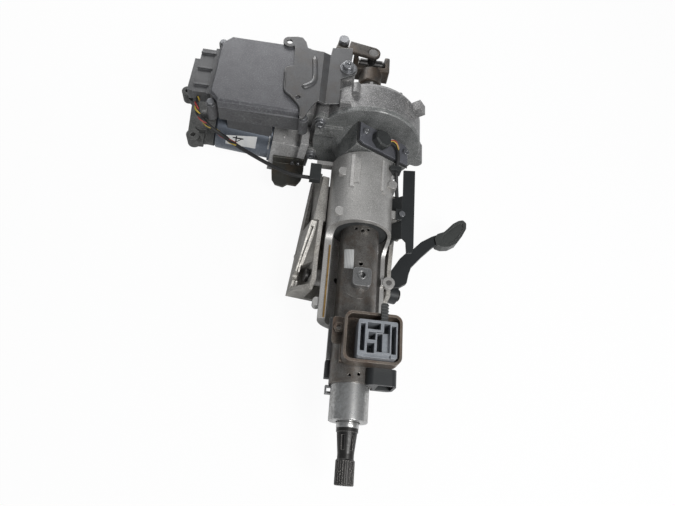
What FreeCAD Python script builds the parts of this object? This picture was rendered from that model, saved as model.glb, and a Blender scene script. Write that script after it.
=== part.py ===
"""Electric power steering column, lying flat with its lock side up.

The column axis is Y. The origin is the mouth of the wheel bolt hole, +Y runs from the steering
wheel to the universal joint, +X is the lever side and +Z is the side with the jacket window.
"""
import FreeCAD, Part
import math
import os
import Sketcher

SIZES = (
    # steering shaft, measured from its wheel end
    ("wheel_bolt_radius", 4.4),
    ("wheel_bolt_depth", 25.0),
    ("spline_radius", 9.0),
    ("spline_length", 21.0),
    ("spline_groove", 0.9),
    ("spline_teeth", 24),
    ("neck_radius", 7.8),
    ("cone_start", 27.0),
    ("cone_radius", 9.8),
    ("ring_start", 46.0),
    ("ring_radius", 10.5),
    ("seat_radius", 10.0),
    ("slider_radius", 9.0),
    ("flat_half", 7.5),
    ("slider_start", 160.0),
    ("running_gap", 0.05),
    ("sleeve_start", 128.0),
    ("sleeve_end", 250.0),
    ("sleeve_wall", 3.5),
    # inner tube and the collar at its mouth
    ("collar_front", 55.0),
    ("collar_length", 40.0),
    ("collar_radius", 19.0),
    ("collar_wall", 3.0),
    ("collar_inset", 6.0),
    ("tube_wall", 2.5),
    ("tube_end", 322.0),
    ("bearing_width", 11.0),
    ("race_wall", 2.2),
    ("seal_gap", 0.25),
    # cast jacket
    ("jacket_front", 154.0),
    ("jacket_end", 345.0),
    ("jacket_radius", 37.0),
    ("jacket_bore", 31.0),
    ("jacket_shift", -2.0),
    ("window_end", 256.0),
    ("rail_top_left", 4.0),
    ("rail_top_right", -14.0),
    ("bush_length", 12.0),
    ("front_bush", 258.0),
    ("rear_bush", 285.0),
    ("slit_width", 4.0),
    # clamp bolt, lever and console, in the frame rolled about the column axis
    ("console_roll", 15.0),
    ("clamp_station", 208.0),
    ("clamp_drop", 30.0),
    ("clamp_bolt_radius", 4.0),
    ("clamp_boss_radius", 9.0),
    ("clamp_boss_half", 41.0),
    ("cheek_gap", 1.0),
    ("cheek_wall", 5.0),
    ("slot_travel", 9.6),
    ("console_front", 190.0),
    ("console_end", 345.0),
    ("console_top", -52.0),
    ("console_base", 6.0),
    ("wing_reach", 15.0),
    ("wing_end_half", 47.5),
    ("cheek_top", -8.0),
    ("console_hole_radius", 4.5),
    ("console_tap", 18.0),
    # gear housing
    ("housing_front", 380.0),
    ("cover_wall", 6.0),
    ("housing_depth", 43.0),
    ("housing_radius", 66.0),
    ("housing_wall", 6.0),
    ("rear_boss_radius", 27.0),
    ("rear_boss_length", 22.0),
    ("neck_bore", 26.0),
    ("neck_outer", 34.5),
    ("lug_radius", 7.5),
    ("lug_bolt_radius", 3.0),
    ("pivot_station", 452.0),
    ("pivot_half", 47.0),
    ("pivot_radius", 5.1),
    ("sensor_tilt", 28.0),
    ("sensor_half", 36.0),
    ("sensor_face", 33.0),
    # worm gear: module 2, two-start worm, in the frame rolled with the motor
    ("motor_roll", 7.5),
    ("worm_drop", 50.0),
    ("worm_phase", 79.0),
    ("flange_stand", 4.0),
    ("wheel_station", 404.0),
    ("wheel_width", 18.0),
    ("wheel_teeth", 42),
    ("wheel_tip", 44.0),
    ("wheel_root", 39.4),
    ("gap_half_tip", 2.75),
    ("gap_half_root", 1.0),
    ("worm_lead", 12.5664),
    ("worm_root", 5.6),
    ("worm_tip", 10.0),
    ("worm_half_length", 19.0),
    ("hub_radius", 30.0),
    ("output_radius", 12.0),
    ("bar_radius", 3.0),
    # motor and its end bracket
    ("motor_radius", 28.0),
    ("can_wall", 2.0),
    ("can_right", -112.0),
    ("can_left", -183.0),
    ("rotor_radius", 19.0),
    ("worm_shaft_radius", 5.0),
    ("end_bracket_left", -203.0),
    # control unit over the motor
    ("ecu_left", -185.0),
    ("ecu_right", -76.0),
    ("ecu_front", 369.0),
    ("ecu_back", 469.0),
    ("ecu_top", 60.0),
    ("lid_height", 12.0),
    ("ecu_floor", 28.0),
    ("ecu_wall", 3.0),
    ("saddle_bottom", -14.0),
    ("bracket_sheet", 2.5),
    ("bracket_rise", 13.0),
    # universal joint
    ("cross_station", 519.0),
    ("cross_back", 19.0),
    ("pin_radius", 4.0),
    ("cup_radius", 6.0),
    ("ear_inner", 16.0),
    ("ear_wall", 4.5),
    ("ear_half", 9.5),
    ("web_inner", 27.0),
    ("web_wall", 6.0),
    ("yoke_end", 50.0),
    ("fork_inner", 18.0),
    ("fork_wall", 6.0),
    ("fork_half", 10.5),
    ("yoke_hub_radius", 13.0),
    ("yoke_bore", 8.5),
    ("yoke_fold", 80.0),
    # lock bracket on the inner tube
    ("lock_left", -14.0),
    ("lock_right", 42.0),
    ("lock_front", 104.0),
    ("lock_back", 153.0),
    ("lock_floor", 23.5),
    ("lock_rim", 41.0),
    ("lock_sheet", 2.5),
    ("insert_top", 51.0),
    # sensor cable
    ("cable_radius", 2.2),
    # side bracket and lever
    ("side_sheet", 2.0),
    ("side_level", 9.0),
    ("lug_set_back", 20.0),
    ("wing_floor_front", -44.0),
    ("head_clearance", 3.8),
    ("lever_level", -37.0),
    ("lever_sheet", 6.0),
)

V = FreeCAD.Vector
doc = FreeCAD.newDocument("SteeringColumn")
sheet = doc.addObject("Spreadsheet::Sheet", "Sizes")


class Size:
    """A number together with the sheet formula that it comes from."""

    def __init__(self, formula, value):
        self.formula = formula
        self.value = value

    def join(self, sign, other, value):
        return Size("(%s %s %s)" % (self.formula, sign, other.formula), value)

    def __add__(self, other):
        other = sized(other)
        return self.join("+", other, self.value + other.value)

    def __radd__(self, other):
        return sized(other) + self

    def __sub__(self, other):
        other = sized(other)
        return self.join("-", other, self.value - other.value)

    def __rsub__(self, other):
        return sized(other) - self

    def __mul__(self, other):
        other = sized(other)
        return self.join("*", other, self.value * other.value)

    def __rmul__(self, other):
        return sized(other) * self

    def __truediv__(self, other):
        other = sized(other)
        return self.join("/", other, self.value / other.value)

    def __neg__(self):
        return sized(0) - self


def sized(number):
    """A plain number as a Size; a Size as it is."""
    if isinstance(number, Size):
        return number
    return Size("%.6g" % number, float(number))


class Sheet:
    """The named sizes, each an attribute."""


d = Sheet()
for row, (alias, value) in enumerate(SIZES, 1):
    sheet.set("A%d" % row, alias)
    sheet.set("B%d" % row, str(value))
    sheet.setAlias("B%d" % row, alias)
    setattr(d, alias, Size("Sizes." + alias, float(value)))
doc.recompute()

NODES = []
AXES = {
    "x": FreeCAD.Rotation(V(0, 1, 0), 90),
    "y": FreeCAD.Rotation(V(1, 0, 0), -90),
    "z": FreeCAD.Rotation(),
}


def bind(made, prop, amount):
    """Ties one property to the sheet."""
    made.setExpression(prop, sized(amount).formula)


def settle():
    """Recomputes, and stops on any object that failed."""
    doc.recompute()
    for made in doc.Objects:
        if "Invalid" in made.State or "Error" in made.State:
            raise RuntimeError("%s failed: %s" % (made.Label, made.State))


def node(made, label=None):
    """Marks an object as one piece of the column."""
    made.Label = label or made.Label
    NODES.append(made)
    return made


def at(made, x, y, z):
    for letter, amount in zip("xyz", (x, y, z)):
        bind(made, "Placement.Base." + letter, amount)


def block(label, x, y, z):
    """A box between two limits on each axis."""
    made = doc.addObject("Part::Box", label)
    for prop, (low, high) in zip(("Length", "Width", "Height"), (x, y, z)):
        bind(made, prop, sized(high) - low)
    at(made, x[0], y[0], z[0])
    return made


def rod(label, axis, radius, span, centre=(0, 0)):
    """A cylinder along x, y or z, from span[0] to span[1]."""
    made = doc.addObject("Part::Cylinder", label)
    bind(made, "Radius", radius)
    bind(made, "Height", sized(span[1]) - span[0])
    made.Placement = FreeCAD.Placement(V(), AXES[axis])
    place = list(centre)
    place.insert("xyz".index(axis), span[0])
    at(made, *place)
    return made


def gather(kind, label, parts):
    made = doc.addObject(kind, label)
    made.Shapes = list(parts)
    made.Refine = True
    return made


def fuse(label, *parts):
    return gather("Part::MultiFuse", label, parts)


def common(label, *parts):
    return gather("Part::MultiCommon", label, parts)


def cut(label, base, *tools):
    made = doc.addObject("Part::Cut", label)
    made.Base = base
    made.Tool = tools[0] if len(tools) == 1 else fuse(label + "_cutters", *tools)
    made.Refine = True
    return made


def group(label, parts):
    """Separate solids that share one node."""
    made = doc.addObject("Part::Compound", label)
    made.Links = list(parts)
    return made


def pipe(label, axis, outer, inner, span, centre=(0, 0)):
    over = (sized(span[0]) - 1, sized(span[1]) + 1)
    return cut(
        label,
        rod(label + "_outside", axis, outer, span, centre),
        rod(label + "_bore", axis, inner, over, centre),
    )


def roll(made, angle):
    """Turns a piece about the column axis."""
    if made.TypeId in ("Part::Box", "Part::Cylinder"):
        made = group(made.Label + "_rolled", [made])
    made.Placement = FreeCAD.Placement(V(), FreeCAD.Rotation(V(0, 1, 0), sized(angle).value))
    if isinstance(angle, Size):
        bind(made, "Placement.Rotation.Angle", angle)
    return made


class Body:
    """A PartDesign body built feature by feature on its own origin planes."""

    def __init__(self, label):
        self.label = label
        self.body = doc.addObject("PartDesign::Body", label)
        self.count = 0

    def add(self, kind, name):
        self.count += 1
        return self.body.newObject(kind, "%s_%s_%d" % (self.label, name, self.count))

    def sketch(self, plane, level):
        made = self.add("Sketcher::SketchObject", "sketch")
        for plane_object in self.body.Origin.OriginFeatures:
            if plane_object.Role == plane + "_Plane":
                made.AttachmentSupport = [(plane_object, "")]
        made.MapMode = "FlatFace"
        level = sized(level)
        bind(made, "AttachmentOffset.Base.z", -level if plane == "XZ" else level)
        return made

    def pin(self, made, geometry, spot, u, v):
        """Holds one sketch point by its two distances from the origin."""
        for kind, axis, amount in (("DistanceX", -2, sized(u)), ("DistanceY", -1, sized(v))):
            if amount.value == 0:
                made.addConstraint(Sketcher.Constraint("PointOnObject", geometry, spot, axis))
                continue
            limit = Sketcher.Constraint(kind, -1, 1, geometry, spot, amount.value)
            number = made.addConstraint(limit)
            made.setExpression("Constraints[%d]" % number, amount.formula)

    def outline(self, made, corners):
        """A closed outline of straight lines."""
        points = [V(sized(u).value, sized(v).value, 0) for u, v in corners]
        total = len(points)
        for index in range(total):
            made.addGeometry(Part.LineSegment(points[index], points[(index + 1) % total]))
        for index in range(total):
            nexts = (index + 1) % total
            made.addConstraint(Sketcher.Constraint("Coincident", index, 2, nexts, 1))
        for index, (u, v) in enumerate(corners):
            self.pin(made, index, 1, u, v)

    def circles(self, made, circles):
        for u, v, radius in circles:
            centre = V(sized(u).value, sized(v).value, 0)
            circle = Part.Circle(centre, V(0, 0, 1), sized(radius).value)
            number = made.addGeometry(circle)
            self.pin(made, number, 3, u, v)
            limit = made.addConstraint(Sketcher.Constraint("Radius", number, sized(radius).value))
            made.setExpression("Constraints[%d]" % limit, sized(radius).formula)

    def pad(self, plane, span, corners=None, circles=()):
        """Material between two levels of a plane."""
        low, high = sized(span[0]), sized(span[1])
        made = self.sketch(plane, high if plane == "XZ" else low)
        if corners:
            self.outline(made, corners)
        self.circles(made, circles)
        feature = self.add("PartDesign::Pad", "pad")
        feature.Profile = made
        bind(feature, "Length", high - low)
        return feature

    def pocket(self, plane, span, corners=None, circles=()):
        """A cut between two levels of a plane."""
        low, high = sized(span[0]), sized(span[1])
        made = self.sketch(plane, low if plane == "XZ" else high)
        if corners:
            self.outline(made, corners)
        self.circles(made, circles)
        before = self.volume()
        feature = self.add("PartDesign::Pocket", "pocket")
        feature.Profile = made
        bind(feature, "Length", high - low)
        if self.volume() > before * 0.999999:
            raise RuntimeError("%s: a pocket cuts nothing" % self.label)
        return feature

    def loft(self, kind, plane, sections):
        """A ruled body, or a ruled cut, between outlines on parallel levels."""
        made = []
        for level, corners in sections:
            made.append(self.sketch(plane, level))
            self.outline(made[-1], corners)
        feature = self.add("PartDesign::" + kind + "Loft", "loft")
        feature.Profile = made[0]
        feature.Sections = made[1:]
        feature.Ruled = True
        return feature

    def volume(self):
        settle()
        return self.body.Shape.Volume

    def turn(self, corners):
        """A full turn about the column axis of an outline given as (radius, station)."""
        made = self.sketch("XY", 0)
        self.outline(made, corners)
        feature = self.add("PartDesign::Revolution", "turned")
        feature.Profile = made
        feature.ReferenceAxis = (made, ["V_Axis"])
        feature.Angle = 360
        return feature

    def repeat(self, feature, count):
        """Copies of a feature round the column axis."""
        made = self.add("PartDesign::PolarPattern", "pattern")
        made.Originals = [feature]
        for axis in self.body.Origin.OriginFeatures:
            if axis.Role == "Y_Axis":
                made.Axis = (axis, [""])
        made.Angle = 360
        bind(made, "Occurrences", count)
        self.body.Tip = made
        return made

    def round(self, radius, wanted, kind="Fillet"):
        """Rounds or chamfers the edges that wanted() picks on the body so far."""
        settle()
        tip = self.body.Tip
        names = ["Edge%d" % (i + 1) for i, edge in enumerate(tip.Shape.Edges) if wanted(edge)]
        if not names:
            raise RuntimeError("%s: no edge to round" % self.label)
        feature = self.add("PartDesign::" + kind, kind.lower())
        feature.Base = (tip, names)
        bind(feature, "Radius" if kind == "Fillet" else "Size", radius)
        return feature


def along(axis, low=-1e9, high=1e9):
    """Picks straight edges parallel to an axis whose middle lies between two levels of it."""

    def wanted(edge):
        if not isinstance(edge.Curve, Part.Line):
            return False
        way = edge.Curve.Direction
        middle = edge.CenterOfMass[axis]
        return abs(way[axis]) > 0.999 and low < middle < high

    return wanted


def level_edges(axis, level):
    """Picks edges that lie wholly at one level of an axis."""
    level = sized(level).value

    def wanted(edge):
        return all(abs(vertex.Point[axis] - level) < 1e-4 for vertex in edge.Vertexes)

    return wanted


def turned(label, corners):
    made = Body(label)
    made.turn(corners)
    return made.body


def plate(label, plane, span, corners, radius=None, circles=()):
    """A flat piece of even thickness, with rounded corners and round holes."""
    made = Body(label)
    made.pad(plane, span, corners)
    if radius is not None:
        made.round(radius, along({"XY": 2, "XZ": 1, "YZ": 0}[plane]))
    if circles:
        made.pocket(plane, span, circles=circles)
    return made.body


tube_radius = d.collar_radius + d.tube_wall
tube_front = d.collar_front + d.collar_length - d.collar_inset
lip = 3.0
upper_seat = (d.collar_front + lip, d.collar_front + lip + d.bearing_width)
collar_bore = d.collar_radius - d.collar_wall


def bearing(label, seat, housing, span):
    """A sealed ball bearing: the outer ring with its seals, and the ring on the shaft."""
    low, high = span
    race = seat + d.race_wall
    ring = housing - d.race_wall
    seal = race + d.seal_gap
    shield = 0.8
    outer = [(seal, low), (housing, low), (housing, high), (seal, high)]
    outer += [(seal, high - shield), (ring, high - shield), (ring, low + shield), (seal, low + shield)]
    node(turned(label, outer))
    node(turned(label + "_race", [(seat, low), (race, low), (race, high), (seat, high)]))


def steering_shaft():
    """Splined end, black cone with its slots, bearing seat and the hollow sliding sleeve."""
    sleeve = d.slider_radius + d.running_gap + d.sleeve_wall
    shoulder = upper_seat[1]
    ring_end = d.collar_front - 0.5
    made = Body("steering_shaft_blank")
    made.turn([
        (d.wheel_bolt_radius, 0),
        (d.spline_radius - 0.8, 0),
        (d.spline_radius, 0.8),
        (d.spline_radius, d.spline_length),
        (d.neck_radius, d.spline_length + 1.5),
        (d.neck_radius, d.cone_start),
        (d.cone_radius, d.ring_start),
        (d.ring_radius, d.ring_start),
        (d.ring_radius, ring_end),
        (d.seat_radius, ring_end),
        (d.seat_radius, shoulder),
        (d.seat_radius + 1.5, shoulder),
        (d.seat_radius + 1.5, shoulder + 4),
        (d.seat_radius - 1.5, shoulder + 6),
        (d.seat_radius - 1.5, d.sleeve_start - 14),
        (sleeve, d.sleeve_start - 8),
        (sleeve, d.sleeve_end),
        (0, d.sleeve_end),
        (0, d.wheel_bolt_depth + 2.5),
        (d.wheel_bolt_radius, d.wheel_bolt_depth),
    ])
    root = d.spline_radius - d.spline_groove
    groove = [(-0.35, root), (0.35, root), (0.8, d.spline_radius + 0.4), (-0.8, d.spline_radius + 0.4)]
    made.repeat(made.pocket("XZ", (-1, d.spline_length), groove), d.spline_teeth)
    low, high = d.cone_start + 3, d.ring_start - 3
    slot = [(low, -1.6), (high, -1.6), (high, 1.6), (low, 1.6)]
    made.repeat(made.pocket("YZ", (d.cone_radius - 2.2, d.cone_radius + 2), slot), 6)
    bore = common(
        "sleeve_bore",
        rod("sleeve_round", "y", d.slider_radius + d.running_gap, (d.sleeve_start, d.sleeve_end + 1)),
        flats("sleeve_flats", d.running_gap, (d.sleeve_start - 1, d.sleeve_end + 2)),
    )
    node(cut("steering_shaft", made.body, bore))
    bearing("upper_bearing", d.seat_radius, collar_bore, upper_seat)


def flats(label, gap, span):
    """The two flats by which the sliding shafts turn together."""
    half = d.flat_half + gap
    return block(label, (-half, half), span, (-30, 30))


def inner_tube():
    front = d.collar_front
    back = front + d.collar_length
    mouth = d.ring_radius + 1.5
    node(turned("bearing_collar", [
        (mouth, front),
        (d.collar_radius - 0.8, front),
        (d.collar_radius, front + 0.8),
        (d.collar_radius, back),
        (collar_bore, back),
        (collar_bore, front + lip),
        (mouth, front + lip),
    ]))
    made = Body("inner_tube")
    made.turn([
        (d.collar_radius, tube_front),
        (tube_radius - 0.6, tube_front),
        (tube_radius, tube_front + 0.6),
        (tube_radius, d.tube_end),
        (d.collar_radius, d.tube_end),
    ])
    crimps = [(-7, 254, 1.7), (0, 251.5, 2.0), (6.5, 254, 1.7), (0.5, 212, 2.2), (-4, 95, 1.6), (5, 97, 1.6)]
    made.pocket("XY", (tube_radius - 6, tube_radius + 2), circles=crimps)
    node(made.body)


bush_bore = tube_radius + d.running_gap
pads = ((-27, 320, 30.0), (-27, 268, 30.0), (30.5, 313, 26.0))
boss_spot = (36.5, 207.0)
bracket_screw_spot = (45.0, 284.0)
clamp_axis = (d.clamp_station, -d.clamp_drop)


def window(label, x, top, corner):
    """Half of the long opening through which the inner tube shows."""
    made = Body(label)
    front, end = d.jacket_front - 1, d.window_end
    made.pad("YZ", x, [(front, top), (end, top), (end, 60), (front, 60)])
    low = along(0)
    made.round(corner, lambda edge: low(edge) and edge.CenterOfMass.y > 200 and edge.CenterOfMass.z < 20)
    return made.body


def outer_tube():
    """The cast jacket: tube, rails beside the window, clamp boss, pads and lugs."""
    centre = (d.jacket_shift, 0)
    parts = [rod("jacket_outside", "y", d.jacket_radius, (d.jacket_front, d.jacket_end), centre)]
    parts.append(roll(rod(
        "clamp_boss", "x", d.clamp_boss_radius, (-d.clamp_boss_half, d.clamp_boss_half), clamp_axis
    ), d.console_roll))
    for index, (x, y, top) in enumerate(pads):
        parts.append(rod("pad_%d" % index, "z", 5.2, (0, top), (x, y)))
    parts.append(block("rib_right", (18, 22), (296, 338), (0, d.jacket_radius - 6 + 1.2)))
    parts.append(roll(block("rib_left", (-3.6, 3.6), (303, 341), (30, d.jacket_radius + 1.4)), -18))
    parts.append(rod("rail_knob", "z", 4.6, (-12, 1), (-41, 173)))
    parts.append(block("rail_knob_web", (-41, -34), (169.5, 176.5), (-12, -1)))
    parts.append(rod("screw_boss", "z", 6.5, (-8, d.side_level), bracket_screw_spot))
    parts.append(block("screw_boss_web", (26, bracket_screw_spot[0]), (279, 289), (-8, d.side_level)))
    parts.append(block("cable_lug", (-57, -33), (340, d.jacket_end), (0, 9)))
    bore = rod("jacket_bore_rod", "y", d.jacket_bore, (d.jacket_front - 1, d.jacket_end + 1))
    slit = roll(block(
        "slit", (-d.slit_width / 2, d.slit_width / 2), (d.jacket_front - 1, d.window_end), (-60, -20)
    ), d.console_roll)
    hole = roll(rod("clamp_hole", "x", d.clamp_bolt_radius + 0.1, (-60, 60), clamp_axis), d.console_roll)
    cutters = [
        bore,
        slit,
        hole,
        window("window_left", (-60, 0), d.rail_top_left, 14),
        window("window_right", (0, 60), d.rail_top_right, 20),
        block("right_rail_end", (0, 60), (d.jacket_front - 1, d.jacket_front + 9), (-18, 20)),
        rod("screw_hole", "z", 2.4, (-6, d.side_level + 1), bracket_screw_spot),
    ]
    jacket = cut("jacket_bored", fuse("jacket_cast", *parts), *cutters)
    boss = rod("pin_boss", "z", 6.8, (-13, -8), boss_spot)
    web = block("pin_boss_web", (28, boss_spot[0] - 1), (203, 211), (-16, -9))
    hole = rod("pin_hole", "z", 3.3, (-11.5, -7), boss_spot)
    node(cut("outer_tube", fuse("jacket_bossed", jacket, boss, web), hole))
    front = pipe("front_bush", "y", d.jacket_bore, bush_bore, (d.front_bush, d.front_bush + d.bush_length))
    rear = pipe("rear_bush", "y", d.jacket_bore, bush_bore, (d.rear_bush, d.rear_bush + d.bush_length))
    node(group("guide_bushes", [front, rear]))
    left = d.jacket_shift - d.jacket_radius
    node(block("slide_strip", (left + 5.4, left + 7.2), (d.jacket_front + 1, 238), (d.rail_top_left, 5.2)))
    node(rod("rail_pin", "z", 3.3, (-11.5, -8.6), boss_spot))


side_outline = [
    (46, 345), (60, 346.5), (59, 244), (57, 237), (51, 236), (50, 250), (46, 254),
    (46, 277), (38.5, 277), (38.5, 291), (46, 291),
]


def side_bracket():
    """Black sheet bracket beside the jacket, with its sloping foot and screw."""
    level, thick = d.side_level, d.side_sheet
    edge = d.jacket_shift + d.jacket_radius + 0.3
    strip = plate("side_strip", "XY", (level, level + thick), side_outline)
    foot = plate("side_foot", "XZ", (254, 309), [
        (50, level), (50, level + thick), (45, level + thick), (edge, 2), (edge, -8),
        (edge + thick, -8), (edge + thick, 1), (45.8, level),
    ])
    gap = block("foot_gap", (30, 53), (276.5, 291.5), (-10, level))
    hole = rod("side_hole", "z", 2.6, (level - 1, level + thick + 1), bracket_screw_spot)
    node(cut("side_bracket", fuse("side_sheet_work", strip, cut("side_foot_open", foot, gap)), hole))


def lock_parts():
    """Everything that rides on the inner tube beside its wheel end."""
    x, y = (d.lock_left, d.lock_right), (d.lock_front, d.lock_back)
    square = [(x[0], y[0]), (x[1], y[0]), (x[1], y[1]), (x[0], y[1])]
    tray = plate("lock_tray", "XY", (d.lock_floor, d.lock_rim), square, 8)
    t = d.lock_sheet
    hollow = plate("lock_hollow", "XY", (d.lock_floor + t, d.lock_rim + 1), [
        (x[0] + t, y[0] + t), (x[1] - t, y[0] + t), (x[1] - t, y[1] - t), (x[0] + t, y[1] - t)
    ], 6)
    saddle = block("lock_saddle", (-15, 15), (y[0] + 3, y[1] - 3), (12, d.lock_floor))
    flange = plate("lock_flange", "XY", (d.lock_floor - t, d.lock_floor), [
        (-24, 124), (x[0] + 10, 124), (x[0] + 10, 151), (-24, 151)
    ], 3)
    tube = rod("lock_tube_seat", "y", tube_radius, (80, 170))
    nut = plate("lock_nut_blank", "XY", (d.lock_floor - 0.5, d.lock_floor + 4), [
        (-18 + 5.5 * math.cos(math.radians(60 * i)), 139 + 5.5 * math.sin(math.radians(60 * i)))
        for i in range(6)
    ])
    hole = rod("lock_nut_bore", "z", 2.6, (17, 40), (-18, 139))
    node(cut("lock_bracket", fuse("lock_sheet_work", tray, saddle, flange, nut), hollow, tube, hole))
    made = Body("lock_insert")
    low = d.lock_floor + t
    left, right = x[0] + 12, x[1] - 7
    front, back = y[0] + 3, y[1] - 11
    made.pad("XY", (low, d.insert_top), [(left, front), (right, front), (right, back), (left, back)])
    made.round(1.5, along(2))
    made.pocket("XY", (d.insert_top - 4, d.insert_top + 1), [
        (left + 17, front + 5), (right - 7, front + 5), (right - 7, back - 11), (left + 17, back - 11)
    ])
    made.pocket("XY", (d.insert_top - 2, d.insert_top + 1), [
        (left + 5, front - 1), (right - 6, front - 1), (right - 6, front + 3), (left + 5, front + 3)
    ])
    cells = (
        (left + 8.5, left + 21, back - 9, back - 2.5), (left + 9.5, left + 17, back - 19, back - 11.5),
        (left + 8.5, left + 15.5, front + 3.5, back - 22), (left + 18.5, left + 23.5, front + 5, back - 11.5),
        (left + 24, left + 30, back - 11, back - 2.5), (right - 5.8, right - 1.2, front + 4, back - 4),
        (left + 2, left + 6.5, front + 5, back - 4),
    )
    for low_x, high_x, low_y, high_y in cells:
        made.pocket("XY", (low + 6, d.insert_top + 1), [
            (low_x, low_y), (high_x, low_y), (high_x, high_y), (low_x, high_y)
        ])
    node(made.body)
    finger = (y[1] - 10.4, y[1] + 8.5)
    ribs = [
        block("guide_rib_%d" % i, (19.6, 26.6), (finger[0] + 1 + 3 * i, finger[0] + 2.4 + 3 * i),
              (d.lock_rim + 5, d.lock_rim + 7))
        for i in range(6)
    ]
    core = block("guide_core", (20.2, 26), finger, (d.lock_rim, d.lock_rim + 6))
    node(fuse("guide_block", core, *ribs))
    shroud_front = d.lock_front - 16
    shell = plate("lock_shroud_blank", "XZ", (shroud_front, d.lock_front), [
        (12, -6), (d.lock_right, -6), (d.lock_right, d.lock_floor + 1), (12, d.lock_floor + 1)
    ], 7)
    node(cut("lock_shroud", shell, rod("shroud_tube_seat", "y", tube_radius, (80, 110)),
             block("shroud_hollow", (24, d.lock_right - t), (shroud_front - 1, d.lock_front - t),
                   (0, d.lock_floor - t))))
    seat = rod("strip_tube_seat", "y", tube_radius, (90, 170))
    node(cut("slide_rail", block("slide_rail_blank", (-25.5, -15), (113, 157), (-8, 0)), seat))
    seat = rod("stop_tube_seat", "y", tube_radius, (90, 170))
    node(cut("rail_stop", block("rail_stop_blank", (-26, -15), (96, 113), (-12, -4)), seat))
    seat = rod("clip_tube_seat", "y", d.collar_radius, (70, 120))
    clip = block("spring_clip_blank", (-24, -12), (81, tube_front), (-12, -4))
    node(cut("spring_clip", clip, seat, block("clip_gap", (-22.6, -12), (83, 87.5), (-13, -3))))
    seat = rod("plate_tube_seat", "y", tube_radius, (150, 240))
    blank = plate("stop_plate_blank", "XY", (12, 30), [(-8, 184), (11, 184), (11, 204), (-8, 204)], 4)
    node(cut("stop_plate", blank, seat, rod("stop_plate_hole", "z", 3.2, (25, 31), (1.5, 196))))


def clamp():
    """Bolt, cam and nut that squeeze the jacket between the console's cheeks."""
    half = d.clamp_boss_half + d.cheek_gap + d.cheek_wall
    bolt = rod("clamp_shank", "x", d.clamp_bolt_radius, (-half - 1, half + 18), clamp_axis)
    head = rod("clamp_head", "x", 7.5, (-half - 4, -half - 0.3), clamp_axis)
    washer = rod("clamp_washer", "x", 9.5, (half + 0.3, half + 3), clamp_axis)
    nut = rod("clamp_nut", "x", 7, (half + 14.2, half + 18), clamp_axis)
    node(roll(fuse("clamp_bolt", bolt, head, washer, nut), d.console_roll))


lever_arm_outline = [
    (43, 232), (53, 249), (60, 257), (70, 265), (79, 275), (92, 284), (100, 288), (104, 275),
    (95, 272), (91, 268), (80, 256), (67, 240), (64, 230), (62, 219), (52, 212), (43, 210),
]
lever_grip_outline = [
    (98, 287), (106.5, 291), (112, 297), (118, 304), (125, 309), (131, 311), (135, 307),
    (134.5, 299), (129, 288), (122, 277.5), (113, 271.6), (104, 270), (97, 272), (95, 280),
]
lever_dish_outline = [
    (106, 287), (113, 293.5), (120, 301), (127, 306), (131, 305), (131, 299), (126, 289.5),
    (120, 280.5), (112, 275.5), (105, 276), (103.5, 281),
]


def lever():
    half = d.clamp_boss_half + d.cheek_gap + d.cheek_wall
    low = d.lever_level
    strap = plate("lever_strap", "XY", (low, low + d.lever_sheet), lever_arm_outline, 2)
    hub = roll(rod("lever_hub", "x", 11, (half + 3.1, half + 14), clamp_axis), d.console_roll)
    bore = roll(rod(
        "lever_bore", "x", d.clamp_bolt_radius + d.running_gap, (half - 5, half + 30), clamp_axis
    ), d.console_roll)
    clear = roll(rod("lever_clear", "x", 16, (half - 20, half + 3.1), clamp_axis), d.console_roll)
    nutspace = roll(rod("lever_nut_space", "x", 9, (half + 14, half + 19), clamp_axis), d.console_roll)
    node(cut("lever_arm", fuse("lever_work", strap, hub), bore, clear, nutspace))
    grip = Body("lever_grip_blank")
    grip.pad("XY", (low - 3, low + d.lever_sheet + 3), lever_grip_outline)
    grip.round(3, along(2))
    grip.pocket("XY", (low + d.lever_sheet + 1.6, low + d.lever_sheet + 4), lever_dish_outline)
    node(cut("lever_grip", grip.body, plate(
        "lever_socket", "XY", (low, low + d.lever_sheet), lever_arm_outline, 2
    )))


strip_front = 268.0


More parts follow.
